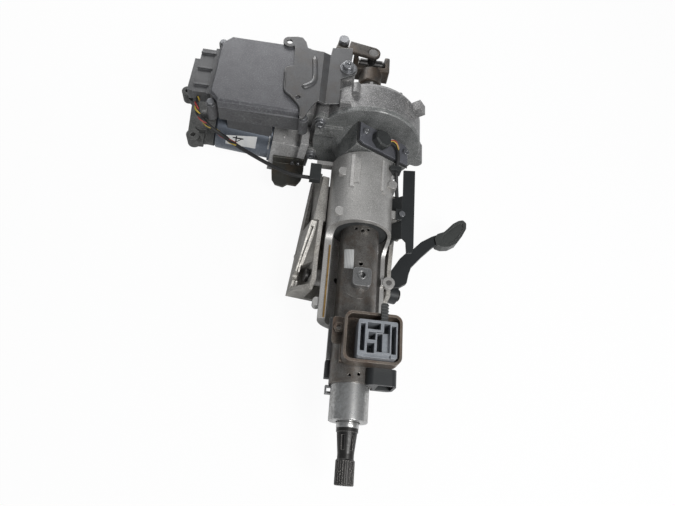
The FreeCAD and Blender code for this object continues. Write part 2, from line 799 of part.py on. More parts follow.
def left_wing(parts, front, top, outer, wing_half):
    """The left wing's sloping floor with its channel, its web up to the cheek, and its front gusset."""
    wall_foot = outer - 0.5
    head_side = outer + d.head_clearance + 4
    turn = d.clamp_station + 12
    start = front + 5
    strip = d.cheek_top - 4
    low = d.wing_floor_front
    side = -wing_front_half
    floor = plate("wing_floor", "XY", (top - 1, strip), [
        (-wing_half(start), start), (-head_side, start), (-head_side, turn), (-wall_foot, turn),
        (-wall_foot, strip_front), (-wing_half(strip_front), strip_front)
    ])
    above = plate("above_floor", "YZ", (side - 2, 0), [
        (start - 1, low), (strip_front + 1, strip), (strip_front + 1, strip + 3), (start - 1, strip + 3)
    ])
    channel = plate("wing_channel", "XY", (top, strip + 2), [
        (-wing_half(start + 4) + 2, start + 4), (-head_side - 2, start + 4), (-head_side - 2, turn),
        (-wing_half(strip_front - 6) + 5, strip_front - 6), (-wing_half(strip_front - 6) + 2, strip_front - 6)
    ])
    under = plate("under_channel", "YZ", (side - 2, 0), [
        (start - 1, low - 3), (strip_front + 1, strip - 4), (strip_front + 1, top - 2), (start - 1, top - 2)
    ])
    web = plate("wing_web", "XZ", (turn, strip_front - 1), [
        (-head_side, top - 1), (-head_side, low + 6), (-wall_foot, strip - 3), (-wall_foot, top - 1)
    ])
    sloped = cut("wing_slope", floor, above)
    parts.append(cut("left_wing", sloped, cut("channel_room", channel, under)))
    parts.append(web)
    gusset = Body("wing_gusset")
    gusset.pad("XZ", (front, start), [
        (-outer + 1, top - 1), (-outer + 1, -18), (-wing_front_half, d.wing_floor_front + 2),
        (-wing_front_half, top - 1),
    ])
    parts.append(gusset.body)
    parts.append(rod("boss_high_right", "z", 7.5, (top - 1, d.wing_floor_front + 8), (outer + 3.5, front + 50)))


def console():
    """Cast bracket that bolts to the car's beam; the jacket tilts between its cheeks."""
    inner = d.clamp_boss_half + d.cheek_gap
    outer = inner + d.cheek_wall
    top, base = d.console_top, d.console_top - d.console_base
    front, end = d.console_front, d.console_end
    lean = (wing_front_half - d.wing_end_half) / (end - front)
    lever_way = d.clamp_station + 18

    def wing_half(station):
        return wing_front_half - lean * (station - front)

    parts = [plate("console_plate", "XY", (base, top), [
        (-wing_front_half, front), (outer, front), (outer, lever_way), (wing_half(lever_way), lever_way),
        (d.wing_end_half, end), (-d.wing_end_half, end)
    ])]
    left_wing(parts, front, top, outer, wing_half)
    edge = d.jacket_radius - d.jacket_shift + 0.5
    cutters = [block("console_window", (-24, 24), (front + 30, end - 35), (base - 1, top + 1))]
    reach = d.slot_travel
    width = d.clamp_bolt_radius + 0.6
    for side, name in ((-1, "left"), (1, "right")):
        low, high = sorted((side * inner, side * outer), key=lambda size: size.value)
        parts.append(plate("cheek_" + name, "YZ", (low, high), [
            (front, top - 1), (front, -24), (front + 8, -13), (front + 40, -13), (strip_front - 2, d.cheek_top),
            (end - 18, d.cheek_top), (end - 9, -30), (end, -30), (end, top - 1)
        ]))
        corners = [
            (side * edge, strip_front), (side * (outer + 6), strip_front), (side * outer, end - 18),
            (side * edge, end - 18)
        ]
        parts.append(plate("cheek_flange_" + name, "XY", (d.cheek_top - 4, d.cheek_top), corners))
        start = strip_front if side < 0 else lever_way + 2
        rim = [
            (side * (wing_half(start) - 4), start), (side * wing_half(start), start),
            (side * d.wing_end_half, end), (side * (d.wing_end_half - 4), end)
        ][::side]
        parts.append(plate("rim_" + name, "XY", (top - 1, top + 9), rim))
        for tag, x, y in (("front", outer + 3.5, front + 50), ("back", inner - 10, end - 10)):
            spot = (side * x, y)
            reach_up = base + d.console_tap if tag == "front" else top + 12
            parts.append(rod("boss_%s_%s" % (tag, name), "z", 7.5, (base, top + 2), spot))
            cutters.append(rod("tap_%s_%s" % (tag, name), "z", d.console_hole_radius, (base - 3, reach_up), spot))
        slot = [
            block("slot_" + name, (low - 20, high + 20), (d.clamp_station - width, d.clamp_station + width),
                  (-d.clamp_drop - reach, -d.clamp_drop + reach)),
            rod("slot_low_" + name, "x", width, (low - 20, high + 20), (d.clamp_station, -d.clamp_drop - reach)),
            rod("slot_high_" + name, "x", width, (low - 20, high + 20), (d.clamp_station, -d.clamp_drop + reach)),
        ]
        cutters += slot
    node(roll(cut("mounting_console", fuse("console_cast", *parts), *cutters), d.console_roll))


cover_back = d.housing_front + d.cover_wall
housing_back = d.housing_front + d.housing_depth
boss_back = housing_back + d.rear_boss_length
rear_wall = 5.0
bearing_outer = 19.0
worm_outer = 13.0
input_seat = (d.jacket_end + 3, d.jacket_end + 3 + d.bearing_width)
front_seat = (d.housing_front, d.housing_front + d.bearing_width)
rear_seat = (housing_back + 1, housing_back + 1 + d.bearing_width)
worm_axis = (d.wheel_station, -d.worm_drop)
front_lugs = (147, 200)
rear_lugs = (-14, -50)
lug_angles = front_lugs + rear_lugs
lug_circle = d.housing_radius + 4
lug_back = cover_back + d.lug_set_back
sensor_spot = (-6.5, 363)
post_spot = (-34, housing_back + 25)
bracket_low = d.housing_radius - d.bracket_rise
gear_face = -(d.housing_radius + d.flange_stand)
wing_front_half = d.clamp_boss_half + d.cheek_gap + d.cheek_wall + d.wing_reach


def lug_spot(angle):
    return (
        lug_circle * math.cos(math.radians(angle)),
        lug_circle * math.sin(math.radians(angle)),
    )


def gear_cover():
    """Front half of the gearbox: neck on the jacket, sensor block and bolting disc."""
    front, disc = d.jacket_end, d.housing_front
    parts = [
        turned("cover_turned", [
            (0, front - 5), (d.jacket_bore - d.running_gap, front - 5), (d.jacket_bore - d.running_gap, front),
            (d.neck_outer, front), (d.neck_outer, disc - 8), (d.neck_outer + 8, disc),
            (d.housing_radius - 1, disc), (d.housing_radius, disc + 1), (d.housing_radius, cover_back),
            (24, cover_back), (24, front_seat[1]), (0, front_seat[1]),
        ]),
        roll(block("sensor_block", (-d.sensor_half, d.sensor_half), (front + 2, disc + 1), (0, d.sensor_face)),
             d.sensor_tilt),
    ]
    cutters = [
        rod("cover_mouth", "y", bearing_outer - 3, (front - 6, front + 4)),
        rod("cover_spigot", "y", d.jacket_bore - 4, (front - 6, front)),
        rod("cover_input_seat", "y", bearing_outer, (input_seat[0], input_seat[1] + 1)),
        rod("cover_chamber", "y", d.neck_bore, (input_seat[1], disc)),
        roll(block("cover_face", (-d.sensor_half - 4, d.sensor_half + 6), (front + 1, disc), (d.sensor_face, 80)),
             d.sensor_tilt),
        rod("cover_wheel_seat", "y", bearing_outer, (disc - 1, front_seat[1] + 1)),
        roll(rod("cover_sensor_way", "z", 7.5, (20, d.sensor_face + 1), (sensor_spot[0], sensor_spot[1] + 5)),
             d.sensor_tilt),
    ]
    for angle in lug_angles:
        tag = angle % 360
        spot = lug_spot(angle)
        parts.append(rod("cover_lug_%d" % tag, "y", d.lug_radius, (disc, cover_back), spot))
        parts.append(roll(block(
            "cover_ear_%d" % tag, (d.housing_radius - 8, lug_circle), (disc, cover_back),
            (-d.lug_radius, d.lug_radius)
        ), -angle))
        if angle in front_lugs:
            parts.append(rod("cover_seat_%d" % tag, "y", d.lug_radius - 1, (disc - 2, disc), spot))
            hole = (d.lug_bolt_radius + 0.2, disc - 3)
        else:
            hole = (d.lug_bolt_radius, disc + 1.5)
        cutters.append(rod("cover_hole_%d" % tag, "y", hole[0], (hole[1], cover_back + 1), spot))
    parts.append(block("cover_arm", (-64, -32), (disc - 4, disc + 1), (16, 31)))
    node(cut("gear_cover", fuse("cover_cast", *parts), *cutters))
    bolts = []
    for angle in lug_angles:
        name = "cover_bolt_%d" % (angle % 360)
        spot = lug_spot(angle)
        seat, way, far = (disc - 2, -1, disc + 18) if angle in front_lugs else (lug_back, 1, disc + 2)
        pieces = []
        for part_name, radius, ends in (
            ("shank", d.lug_bolt_radius, (seat + way, far)),
            ("flange", d.lug_radius - 1, (seat, seat + 1.6 * way)),
            ("head", d.lug_radius - 2, (seat + way, seat + 5 * way)),
            ("socket", 2.6, (seat + 2.5 * way, seat + 6 * way)),
        ):
            span = sorted(ends, key=lambda size: size.value)
            pieces.append(rod(name + "_" + part_name, "y", radius, span, spot))
        bolts.append(cut(name, fuse(name + "_solid", *pieces[:3]), pieces[3]))
    side_top = d.side_level + d.side_sheet
    side_head = rod("side_screw_head", "z", 3.4, (side_top, side_top + 2.4), bracket_screw_spot)
    side_shank = rod("side_screw_shank", "z", 2.4, (d.side_level - 12, d.side_level + d.side_sheet + 1),
                     bracket_screw_spot)
    node(group("housing_bolts", bolts + [fuse("side_screw", side_head, side_shank)]))


def gear_housing():
    """Rear half of the gearbox: cup for the wheel, worm tunnel, boss, post and pivot lugs."""
    r = d.housing_radius
    back = housing_back
    parts = [turned("housing_turned", [
        (0, cover_back), (r, cover_back), (r, back - 7), (r - 4, back), (d.rear_boss_radius + 4, back),
        (d.rear_boss_radius, back + 4), (d.rear_boss_radius, boss_back - 1), (d.rear_boss_radius - 1, boss_back),
        (0, boss_back),
    ])]
    parts.append(roll(rod("worm_tunnel", "x", worm_outer + 4.5, (gear_face, 36), worm_axis), d.motor_roll))
    flange = worm_outer + 11
    parts.append(roll(block(
        "worm_flange", (gear_face, gear_face + 8), (cover_back + 0.5, d.wheel_station + flange),
        (-d.worm_drop - flange, -d.worm_drop + flange)
    ), d.motor_roll))
    cutters = [
        rod("wheel_cavity", "y", r - d.housing_wall, (cover_back - 1, back - rear_wall)),
        roll(rod("worm_bore", "x", worm_outer, (gear_face - 1, 33), worm_axis), d.motor_roll),
        rod("rear_seat_bore", "y", bearing_outer, (back - rear_wall - 1, rear_seat[1])),
        rod("rear_mouth", "y", bearing_outer - 4.5, (rear_seat[1] - 1, boss_back + 1)),
    ]
    for angle in lug_angles:
        spot = lug_spot(angle)
        tag = angle % 360
        parts.append(rod("housing_lug_%d" % tag, "y", d.lug_radius, (cover_back, lug_back), spot))
        parts.append(roll(block(
            "housing_ear_%d" % tag, (r - 8, lug_circle), (cover_back, lug_back), (-d.lug_radius, d.lug_radius)
        ), -angle))
        if angle in front_lugs:
            cutters.append(rod("housing_tap_%d" % tag, "y", d.lug_bolt_radius, (cover_back - 1, lug_back - 6), spot))
        else:
            cutters.append(rod(
                "housing_hole_%d" % tag, "y", d.lug_bolt_radius + 0.2, (cover_back - 1, lug_back + 1), spot
            ))
            cutters.append(rod("housing_spot_face_%d" % tag, "y", d.lug_radius - 0.7, (lug_back, back + 1), spot))
    parts.append(roll(block("crane_lug", (r - 5, r + 11), (cover_back + 17, back - 7), (-6.5, 6.5)), -41))
    parts.append(roll(block("stop_lug", (r - 5, r + 2.5), (cover_back + 8, cover_back + 24), (-6.5, 6.5)), -50))
    parts.append(roll(block(
        "tunnel_web", (gear_face, gear_face + 26), (cover_back + 4, back + 7), (-d.worm_drop, 17)
    ), d.motor_roll))
    parts.append(block("top_fin", (-39.5, -28), (cover_back + 3, cover_back + 7), (30, r - 4)))
    for angle in (110, 222, 300):
        spot = (
            (r + 1) * math.cos(math.radians(angle)),
            (r + 1) * math.sin(math.radians(angle)),
        )
        parts.append(rod("locating_lug_%d" % angle, "y", 5, (back - 20, back - 6), spot))
    x, y = post_spot
    parts.append(rod("bracket_post", "z", 10, (8, bracket_low), post_spot))
    parts.append(block("bracket_post_web", (x - 7, x + 7), (back - 3, y), (8, bracket_low - 6)))
    for index in range(9):
        angle = math.radians(index * 40 + 15)
        rib = block("boss_rib_%d" % index, (d.rear_boss_radius - 2, r - 8), (back - 2, back + 7), (-1.5, 1.5))
        parts.append(roll(rib, -math.degrees(angle)))
    low = d.pivot_half - 9
    for side in (-1, 1):
        name = "pivot_%s" % ("right" if side > 0 else "left")
        span = sorted((side * low, side * d.pivot_half), key=lambda size: size.value)
        spot = (d.pivot_station, -d.clamp_drop)
        parts.append(roll(rod(name + "_lug", "x", 12, span, spot), d.console_roll))
        parts.append(roll(block(
            name + "_web", span, (back - 4, d.pivot_station), (-12 - d.clamp_drop, 12 - d.clamp_drop)
        ), d.console_roll))
    cutters.append(roll(rod(
        "pivot_bore", "x", d.pivot_radius, (-60, 60), (d.pivot_station, -d.clamp_drop)
    ), d.console_roll))
    cutters.append(rod("post_tap", "z", 2.9, (bracket_low - 16, bracket_low + 1), post_spot))
    node(cut("gear_housing", fuse("housing_cast", *parts), *cutters))


def geared_shafts():
    """Input shaft, torsion bar, output shaft, wheel and their bearings."""
    end = d.housing_front - 2
    made = Body("lower_shaft_blank")
    made.turn([
        (0, d.slider_start), (d.slider_radius - 0.6, d.slider_start), (d.slider_radius, d.slider_start + 0.6),
        (d.slider_radius, d.jacket_end - 15), (d.slider_radius + 2, d.jacket_end - 12), (d.slider_radius + 2, end),
        (d.bar_radius, end), (d.bar_radius, d.jacket_end - 8), (0, d.jacket_end - 9),
    ])
    slab = block("lower_shaft_flats", (-d.flat_half, d.flat_half), (d.slider_start - 1, d.jacket_end - 20), (-12, 12))
    rest = rod("lower_shaft_round", "y", 12, (d.jacket_end - 20, end + 1))
    node(common("lower_shaft", made.body, fuse("lower_shaft_form", slab, rest)))
    seat = d.slider_radius + 2
    output = d.output_radius
    races, rings = [], []
    for name, inner, span in (
        ("input", seat, input_seat), ("wheel_front", output, front_seat), ("wheel_rear", output, rear_seat)
    ):
        low, high = span
        race = inner + d.race_wall
        ring = bearing_outer - d.race_wall
        seal = race + d.seal_gap
        rings.append(turned(name + "_ring", [
            (seal, low), (bearing_outer, low), (bearing_outer, high), (seal, high),
            (seal, high - 0.8), (ring, high - 0.8), (ring, low + 0.8), (seal, low + 0.8),
        ]))
        races.append(pipe(name + "_race", "y", race, inner, span))
    node(group("gearbox_bearings", rings))
    node(group("gearbox_races", races))
    waist = d.bar_radius - 0.7
    node(turned("torsion_bar", [
        (0, d.jacket_end - 8), (d.bar_radius, d.jacket_end - 8), (d.bar_radius, d.jacket_end + 4), (waist, d.jacket_end + 7),
        (waist, housing_back + 3), (d.bar_radius, housing_back + 6), (d.bar_radius, housing_back + 15), (0, housing_back + 15),
    ]))
    hub_end = d.cross_station - d.cross_back
    node(turned("output_shaft", [
        (d.bar_radius, d.housing_front), (output, d.housing_front), (output, rear_seat[1] + 1), (output - 1, rear_seat[1] + 1),
        (output - 1, hub_end), (0, hub_end), (0, housing_back + 15), (d.bar_radius, housing_back + 15),
    ]))
    low, high = d.wheel_station - d.wheel_width / 2, d.wheel_station + d.wheel_width / 2
    hub = Body("wheel_hub")
    hub.turn([
        (output, low - 3), (output + 5, low - 3), (output + 5, low + 2), (d.hub_radius, low + 2),
        (d.hub_radius, high - 2), (output + 5, high - 2), (output + 5, high + 3), (output, high + 3),
    ])
    node(hub.body)
    node(pipe("sensor_rotor", "y", seat + 6, seat, (input_seat[1] + 4, d.housing_front - 5)))


def worm_gear():
    """Forty-two leaning teeth on the wheel and the two-start worm that drives them."""
    low, high = d.wheel_station - d.wheel_width / 2, d.wheel_station + d.wheel_width / 2
    pitch_radius = d.worm_drop - (d.worm_tip + d.worm_root) / 2
    lean = -math.degrees(math.atan(d.worm_lead.value / (2 * math.pi * (d.worm_tip.value - 2))))
    blank = pipe("wheel_blank", "y", d.wheel_tip, d.hub_radius, (low, high))
    outer = d.wheel_tip.value + 1
    gap = Body("tooth_gap_blank")
    gap.pad("XZ", (-d.wheel_width, d.wheel_width), [
        (-d.gap_half_root, d.wheel_root), (d.gap_half_root, d.wheel_root),
        (d.gap_half_tip * 1.14, d.wheel_tip + 1), (-d.gap_half_tip * 1.14, d.wheel_tip + 1),
    ][::-1])
    settle()
    teeth = int(round(d.wheel_teeth.value))
    leaning = gap.body.Shape.copy()
    leaning.rotate(V(0, 0, 0), V(0, 0, 1), lean)
    leaning.translate(V(0, d.wheel_station.value, 0))
    gaps = []
    for index in range(teeth):
        one = leaning.copy()
        one.rotate(V(0, 0, 0), V(0, 1, 0), 180 + d.motor_roll.value + (index + 0.5) * 360.0 / teeth)
        gaps.append(one)
    wheel = doc.addObject("Part::Feature", "worm_wheel")
    wheel.Shape = blank_shape(blank).cut(Part.makeCompound(gaps))
    node(wheel)


def blank_shape(made):
    settle()
    return made.Shape


def worm():
    root, tip = d.worm_root.value, d.worm_tip.value
    half = d.worm_half_length.value
    lead = d.worm_lead.value
    length = 2 * half + lead
    thick, thin = 2.1, 0.42
    sink = 0.5
    starts = []
    for start in range(2):
        helix = Part.makeHelix(lead, length, root - sink)
        profile = Part.makePolygon([
            V(root - sink, 0, -thick), V(tip, 0, -thin), V(tip, 0, thin), V(root - sink, 0, thick),
            V(root - sink, 0, -thick),
        ])
        sweep = Part.BRepOffsetAPI.MakePipeShell(Part.Wire(helix.Edges))
        sweep.setFrenetMode(True)
        sweep.add(profile)
        sweep.build()
        sweep.makeSolid()
        thread = sweep.shape()
        thread.translate(V(0, 0, -length / 2))
        thread.rotate(V(0, 0, 0), V(0, 0, 1), 180 * start)
        starts.append(thread.common(Part.makeCylinder(tip + 5, 2 * half, V(0, 0, -half))))
    return Part.makeCylinder(root, 2 * half, V(0, 0, -half)).fuse(starts)


def drive():
    """Worm on its shaft, the motor, and the cast block between motor and gearbox."""
    left = d.can_right
    face = gear_face
    shaft = d.worm_shaft_radius
    reach = 32
    thread = worm()
    rod_right = Part.makeCylinder(shaft.value, reach - d.worm_half_length.value, V(0, 0, d.worm_half_length.value))
    low = (left + 20).value
    rod_left = Part.makeCylinder(shaft.value, -low - d.worm_half_length.value, V(0, 0, low))
    whole = thread.fuse([rod_right, rod_left])
    whole.rotate(V(0, 0, 0), V(0, 1, 0), 90)
    whole.rotate(V(0, 0, 0), V(1, 0, 0), d.worm_phase.value)
    whole.translate(V(0, d.wheel_station.value, -d.worm_drop.value))
    whole.rotate(V(0, 0, 0), V(0, 1, 0), d.motor_roll.value)
    made = doc.addObject("Part::Feature", "worm_shaft")
    made.Shape = whole
    node(made)
    spans = ((-37, -26), (25.5, 33))
    rings, races = [], []
    for index, span in enumerate(spans):
        rings.append(roll(pipe(
            "worm_ring_%d" % index, "x", worm_outer, shaft + 3 + d.seal_gap, span, worm_axis
        ), d.motor_roll))
        races.append(roll(pipe("worm_race_%d" % index, "x", shaft + 3, shaft, span, worm_axis), d.motor_roll))
    node(group("worm_bearings", rings))
    node(group("worm_races", races))
    block_low = -d.worm_drop - 30
    block_front, block_back = d.wheel_station - 30, d.wheel_station + 30
    parts = [
        roll(block("worm_block", (left, face), (block_front, block_back), (block_low, block_low + 60)), d.motor_roll),
        roll(block("worm_block_web", (face - 10, face), (block_front + 24, block_back), (block_low + 59, 16)), d.motor_roll),
        roll(block("worm_block_nose", (face - 9, face), (block_front - 7, block_front + 20), (-33, -3)), d.motor_roll),
        rod("ecu_post_left", "z", 6, (-20, d.ecu_floor), (-101, 425)),
        rod("ecu_post_right", "z", 6, (-20, d.ecu_floor), (-83, 425)),
    ]
    cutters = [
        roll(rod("block_bore", "x", worm_outer, (left - 1, face + 1), worm_axis), d.motor_roll),
        roll(rod("block_hollow", "x", 20, (left - 1, face - 8), worm_axis), d.motor_roll),
        roll(rod("block_hole_top", "z", 2.2, (block_low + 50, block_low + 61), (-80, 398)), d.motor_roll),
        roll(rod("block_hole_front", "y", 3.0, (block_front - 1, block_front + 8), (-102, -d.worm_drop - 22)),
             d.motor_roll),
    ]
    node(cut("worm_housing", fuse("worm_block_cast", *parts), *cutters))
    can, wall = d.motor_radius, d.can_wall
    shell = turned_x("motor_can", [
        (7, d.can_left), (can - 3, d.can_left), (can, d.can_left + 3), (can, left - 3), (can + 3, left - 2.5),
        (can + 3, left), (can - wall, left), (can - wall, d.can_left + 3 + wall), (can - 3 - wall, d.can_left + wall),
        (7, d.can_left + wall),
    ])
    node(shell)
    node(turned_x("motor_stator", [
        (d.rotor_radius + 0.6, d.can_left + 10), (can - wall, d.can_left + 10),
        (can - wall, left - 8), (d.rotor_radius + 0.6, left - 8),
    ]))
    end = d.can_left - 8
    node(turned_x("motor_rotor", [
        (0, end), (shaft, end), (shaft, d.can_left + 12), (d.rotor_radius, d.can_left + 12),
        (d.rotor_radius, left - 12), (shaft, left - 12), (shaft, left + 2), (shaft + 4, left + 2),
        (shaft + 4, left + 28), (shaft, left + 28), (shaft, left + 20), (0, left + 20),
    ]))
    plate_low = d.end_bracket_left + 8
    disc = turned_x("end_disc", [
        (0, d.end_bracket_left), (16, d.end_bracket_left), (18, plate_low), (can - 2, plate_low),
        (can - 1, plate_low + 2), (can - 1, d.can_left), (7, d.can_left), (7, end - 1), (0, end - 1),
    ], place=False)
    arm = plate("end_arm", "XY", (-16, -8), [
        (-196, 360), (-208, 359.5), (-216, 366), (-216, 375), (-220, 420), (-234.5, 431), (-228, 439.5),
        (-219, 437), (-205, 428), (-197, 428),
    ])
    lug_1 = rod("end_lug_1", "z", 7.4, (-18, -3), (-227, 432))
    lug_2 = rod("end_lug_2", "z", 8, (-18, -3), (-208, 367))
    post = rod("end_post", "z", 9, (-34, -6), (-200, 386))
    holes = [
        rod("end_hole_1", "z", 3, (-20, -1), (-227, 432)),
        rod("end_hole_2", "z", 3, (-20, -1), (-208, 367)),
        roll(rod("end_shaft_way", "x", 7, (end - 1, d.can_left + 1), worm_axis), d.motor_roll),
    ]
    node(cut("motor_end_bracket", fuse("end_cast", disc, arm, lug_1, lug_2, post), *holes))
    sheet_low = -46
    foot = block_front
    flat = plate("rear_sheet", "XY", (sheet_low, sheet_low + d.bracket_sheet), [
        (-113, foot), (-113, foot - 16), (-111, foot - 29), (-106, foot - 36), (-96, foot - 38),
        (-91, foot - 33.5), (-80, foot - 34), (-75, foot - 26), (-73, foot - 18), (-73, foot)
    ], 2)
    upright = plate("rear_upright", "XZ", (foot - d.bracket_sheet, foot), [
        (-113, sheet_low - 12), (-73, sheet_low - 12), (-73, sheet_low + 14), (-113, sheet_low + 14)
    ])
    node(fuse("rear_bracket", flat, upright))


def turned_x(label, corners, place=True):
    """A turned piece on the worm's axis; corners are (radius, station along x)."""
    made = Body(label)
    made.turn(corners)
    turn = FreeCAD.Rotation(V(0, 0, 1), -90)
    spin = FreeCAD.Rotation(V(0, 1, 0), d.motor_roll.value)
    shift = FreeCAD.Placement(V(0, d.wheel_station.value, -d.worm_drop.value), turn)
    made.body.Placement = FreeCAD.Placement(V(), spin).multiply(shift)
    return made.body


def control_unit():
    """Electronics box on the motor: base, lid, connector, screws and the sheet bracket."""
    left, right = d.ecu_left, d.ecu_right
    front, back = d.ecu_front, d.ecu_back
    floor, top = d.ecu_floor, d.ecu_top
    joint = top - d.lid_height
    wall = d.ecu_wall
    outline = [
        (left + 1, front + 12), (left + 11, front + 1), (right - 4, front), (right, front + 4),
        (right, back - 4), (right - 4, back), (left + 12, back), (left + 1, back - 12),
    ]
    inside = [
        (left + 4, front + 13), (left + 12, front + 4), (right - 5, front + 3), (right - 3, front + 5),
        (right - 3, back - 5), (right - 5, back - 3), (left + 13, back - 3), (left + 4, back - 13),
    ]
    posts = ((-183.5, 464.5), (-182.5, 372.5), (-78.5, 369), (-79, 469))
    base = [plate("ecu_box", "XY", (floor, joint), outline)]
    base.append(block("ecu_saddle", (-170, -116), (386, 460), (d.saddle_bottom, floor)))
    for index, spot in enumerate(posts):
        base.append(rod("ecu_post_%d" % index, "z", 5.5, (floor, joint + 2), spot))
    hollow = plate("ecu_hollow", "XY", (floor + wall, joint + 3), inside)
    can = roll(rod("ecu_can", "x", d.motor_radius + 0.3, (d.can_left - 5, d.can_right + 5), worm_axis), d.motor_roll)
    rim = roll(rod("ecu_can_rim", "x", d.motor_radius + 3.5, (d.can_right - 4, d.can_right + 5), worm_axis), d.motor_roll)
    slots = [rod("ecu_tap_%d" % i, "z", 1.8, (joint - 10, joint + 3), spot) for i, spot in enumerate(posts)]
    node(cut("ecu_base", fuse("ecu_base_cast", *base), hollow, can, rim, *slots))
    shell = Body("ecu_lid_shell")
    shell.pad("XY", (joint, top), outline)
    shell.round(2.5, level_edges(2, top), "Chamfer")
    groove = [
        block("lid_groove_front", (left + 12, right + 1), (front - 1, front + 0.8), (joint + 1.2, joint + 2.4)),
        plate("lid_hollow", "XY", (joint - 1, top - wall), inside),
    ]
    for index, spot in enumerate(posts):
        groove.append(rod("lid_clear_%d" % index, "z", 6, (joint - 1, joint + 6.5), spot))
    node(cut("ecu_lid", shell.body, *groove))
    screws = []
    for index, spot in enumerate(posts):
        name = "ecu_screw_%d" % index
        head = rod(name + "_head", "z", 3.9, (joint + 2, joint + 5), spot)
        shank = rod(name + "_shank", "z", 1.8, (joint - 8, joint + 2.5), spot)
        screws.append(fuse(name, head, shank))
    high = bracket_low + d.bracket_sheet
    washer = rod("bracket_washer", "z", 9.4, (high, high + 1.4), post_spot)
    head = rod("bracket_head", "z", 6.6, (high + 1, high + 5), post_spot)
    shank = rod("bracket_shank", "z", 2.9, (bracket_low - 14, high + 2), post_spot)
    socket = rod("bracket_socket", "z", 3.0, (high + 3, high + 6), post_spot)
    screws.append(cut("bracket_screw", fuse("bracket_screw_solid", washer, head, shank), socket))
    for index, u in enumerate((-27, 32)):
        name = "sensor_screw_%d" % index
        level = d.sensor_face + 3.7
        head = rod(name + "_head", "z", 4, (level, level + 2.6), (u, sensor_spot[1] + 3))
        screws.append(roll(head, d.sensor_tilt))
    node(group("case_screws", screws))
    outer = left - 28
    plug = [
        block("plug_flange", (left - 6, left + 1), (388, 458), (floor + 1, joint - 1)),
        block("plug_body", (left - 22, left - 5), (390, 456), (floor + 2, joint - 2)),
        block("plug_step", (outer, left - 21), (392, 440), (floor + 3, joint - 3)),
    ]
    for index, y in enumerate((400, 425, 449)):
        plug.append(block("plug_rib_%d" % index, (left - 22, left - 5), (y - 1, y + 1), (floor + 2, joint)))
    cells = []
    for index, (low, high) in enumerate(((394, 405), (408, 422), (425, 438))):
        cells.append(block("plug_cell_%d" % index, (outer - 1, left - 8), (low, high), (floor + 6, joint - 6)))
    cells.append(block("plug_cell_3", (left - 23, left - 8), (442, 453), (floor + 6, joint - 6)))
    cells.append(plate("plug_inside", "XY", (floor, joint), outline))
    node(cut("ecu_connector", fuse("ecu_plug", *plug), *cells))
    low, rise = bracket_low, top
    t = d.bracket_sheet
    folded = plate("bracket_fold", "XZ", (340, 500), [
        (-125, rise), (-65, rise), (-57, low), (-10, low), (-10, low + t), (-56, low + t), (-64, rise + t),
        (-125, rise + t),
    ])
    ring_spot = (-105.9, back + 1.2)
    flat = (low - 5, rise + 10)
    outline = plate("bracket_plan", "XY", flat, [
        (-110, 477), (-97.5, 480), (-91.4, 479.6), (-86.5, 473.3), (-83.9, 464.5), (-80, 462.4), (-63.4, 461.5),
        (-55.8, 465.7), (-54.4, 477.6), (-30.2, 482), (-30.2, 458), (-30, 438), (-41.6, 430), (-40.6, 392.7),
        (-53, 390.3), (-64.7, 386.5), (-69.7, 380.4), (-78.6, 359), (-82.5, 358.3), (-84, 373.5), (-94, 386.1),
        (-103.3, 394.6), (-106.6, 427), (-104, 430.4), (-96.5, 433.5), (-99.1, 463),
    ])
    ring = rod("bracket_ring", "z", 7.6, flat, ring_spot)
    eye = rod("bracket_eye", "z", 11.3, flat, post_spot)
    holes = [
        rod("bracket_hole_left", "z", 3.5, (rise - 1, rise + 5), ring_spot),
        rod("bracket_hole_mid", "z", 3, (rise - 1, rise + 5), (-87.2, 387.3)),
        rod("bracket_hole_post", "z", 3.1, (low - 1, low + 5), post_spot),
    ]
    node(cut("ecu_bracket", common("bracket_sheet_work", folded, fuse("bracket_form", outline, ring, eye)), *holes))


def torque_sensor():
    low = d.sensor_face
    u, y = sensor_spot
    half = d.sensor_half
    outline = [
        (-half, d.jacket_end + 6), (-half + 5, d.jacket_end + 3), (half + 2, d.jacket_end + 3),
        (half + 2, d.housing_front - 4), (half - 4, d.housing_front - 1), (-half, d.housing_front - 1),
    ]
    way = [(u, y + 5, 7.5)]
    node(roll(plate("sensor_gasket", "XY", (low, low + 1.2), outline, circles=way), d.sensor_tilt))
    inner = [
        (-half + 2, d.jacket_end + 8), (-half + 7, d.jacket_end + 5), (half, d.jacket_end + 5),
        (half, d.housing_front - 6), (half - 5, d.housing_front - 3), (-half + 2, d.housing_front - 3),
    ]
    node(roll(plate("sensor_plate", "XY", (low + 1.2, low + 3.7), inner, circles=way), d.sensor_tilt))
    corners = [
        (u + 11.5 * math.cos(math.radians(45 * i + 22.5)), y + 11.5 * math.sin(math.radians(45 * i + 22.5)))
        for i in range(8)
    ]
    cap = Body("sensor_cap")
    cap.pad("XY", (low + 3.7, low + 13), corners)
    cap.round(1.5, level_edges(2, low + 13), "Chamfer")
    neck = rod("sensor_neck", "z", 6.8, (22, low + 4), (u, y + 5))
    head = roll(fuse("sensor_head", cap.body, neck), d.sensor_tilt)
    coil = pipe("sensor_coil", "y", d.neck_bore - 0.1, d.slider_radius + 11, (input_seat[1] + 3, d.housing_front - 4))
    node(fuse("torque_sensor", head, coil))


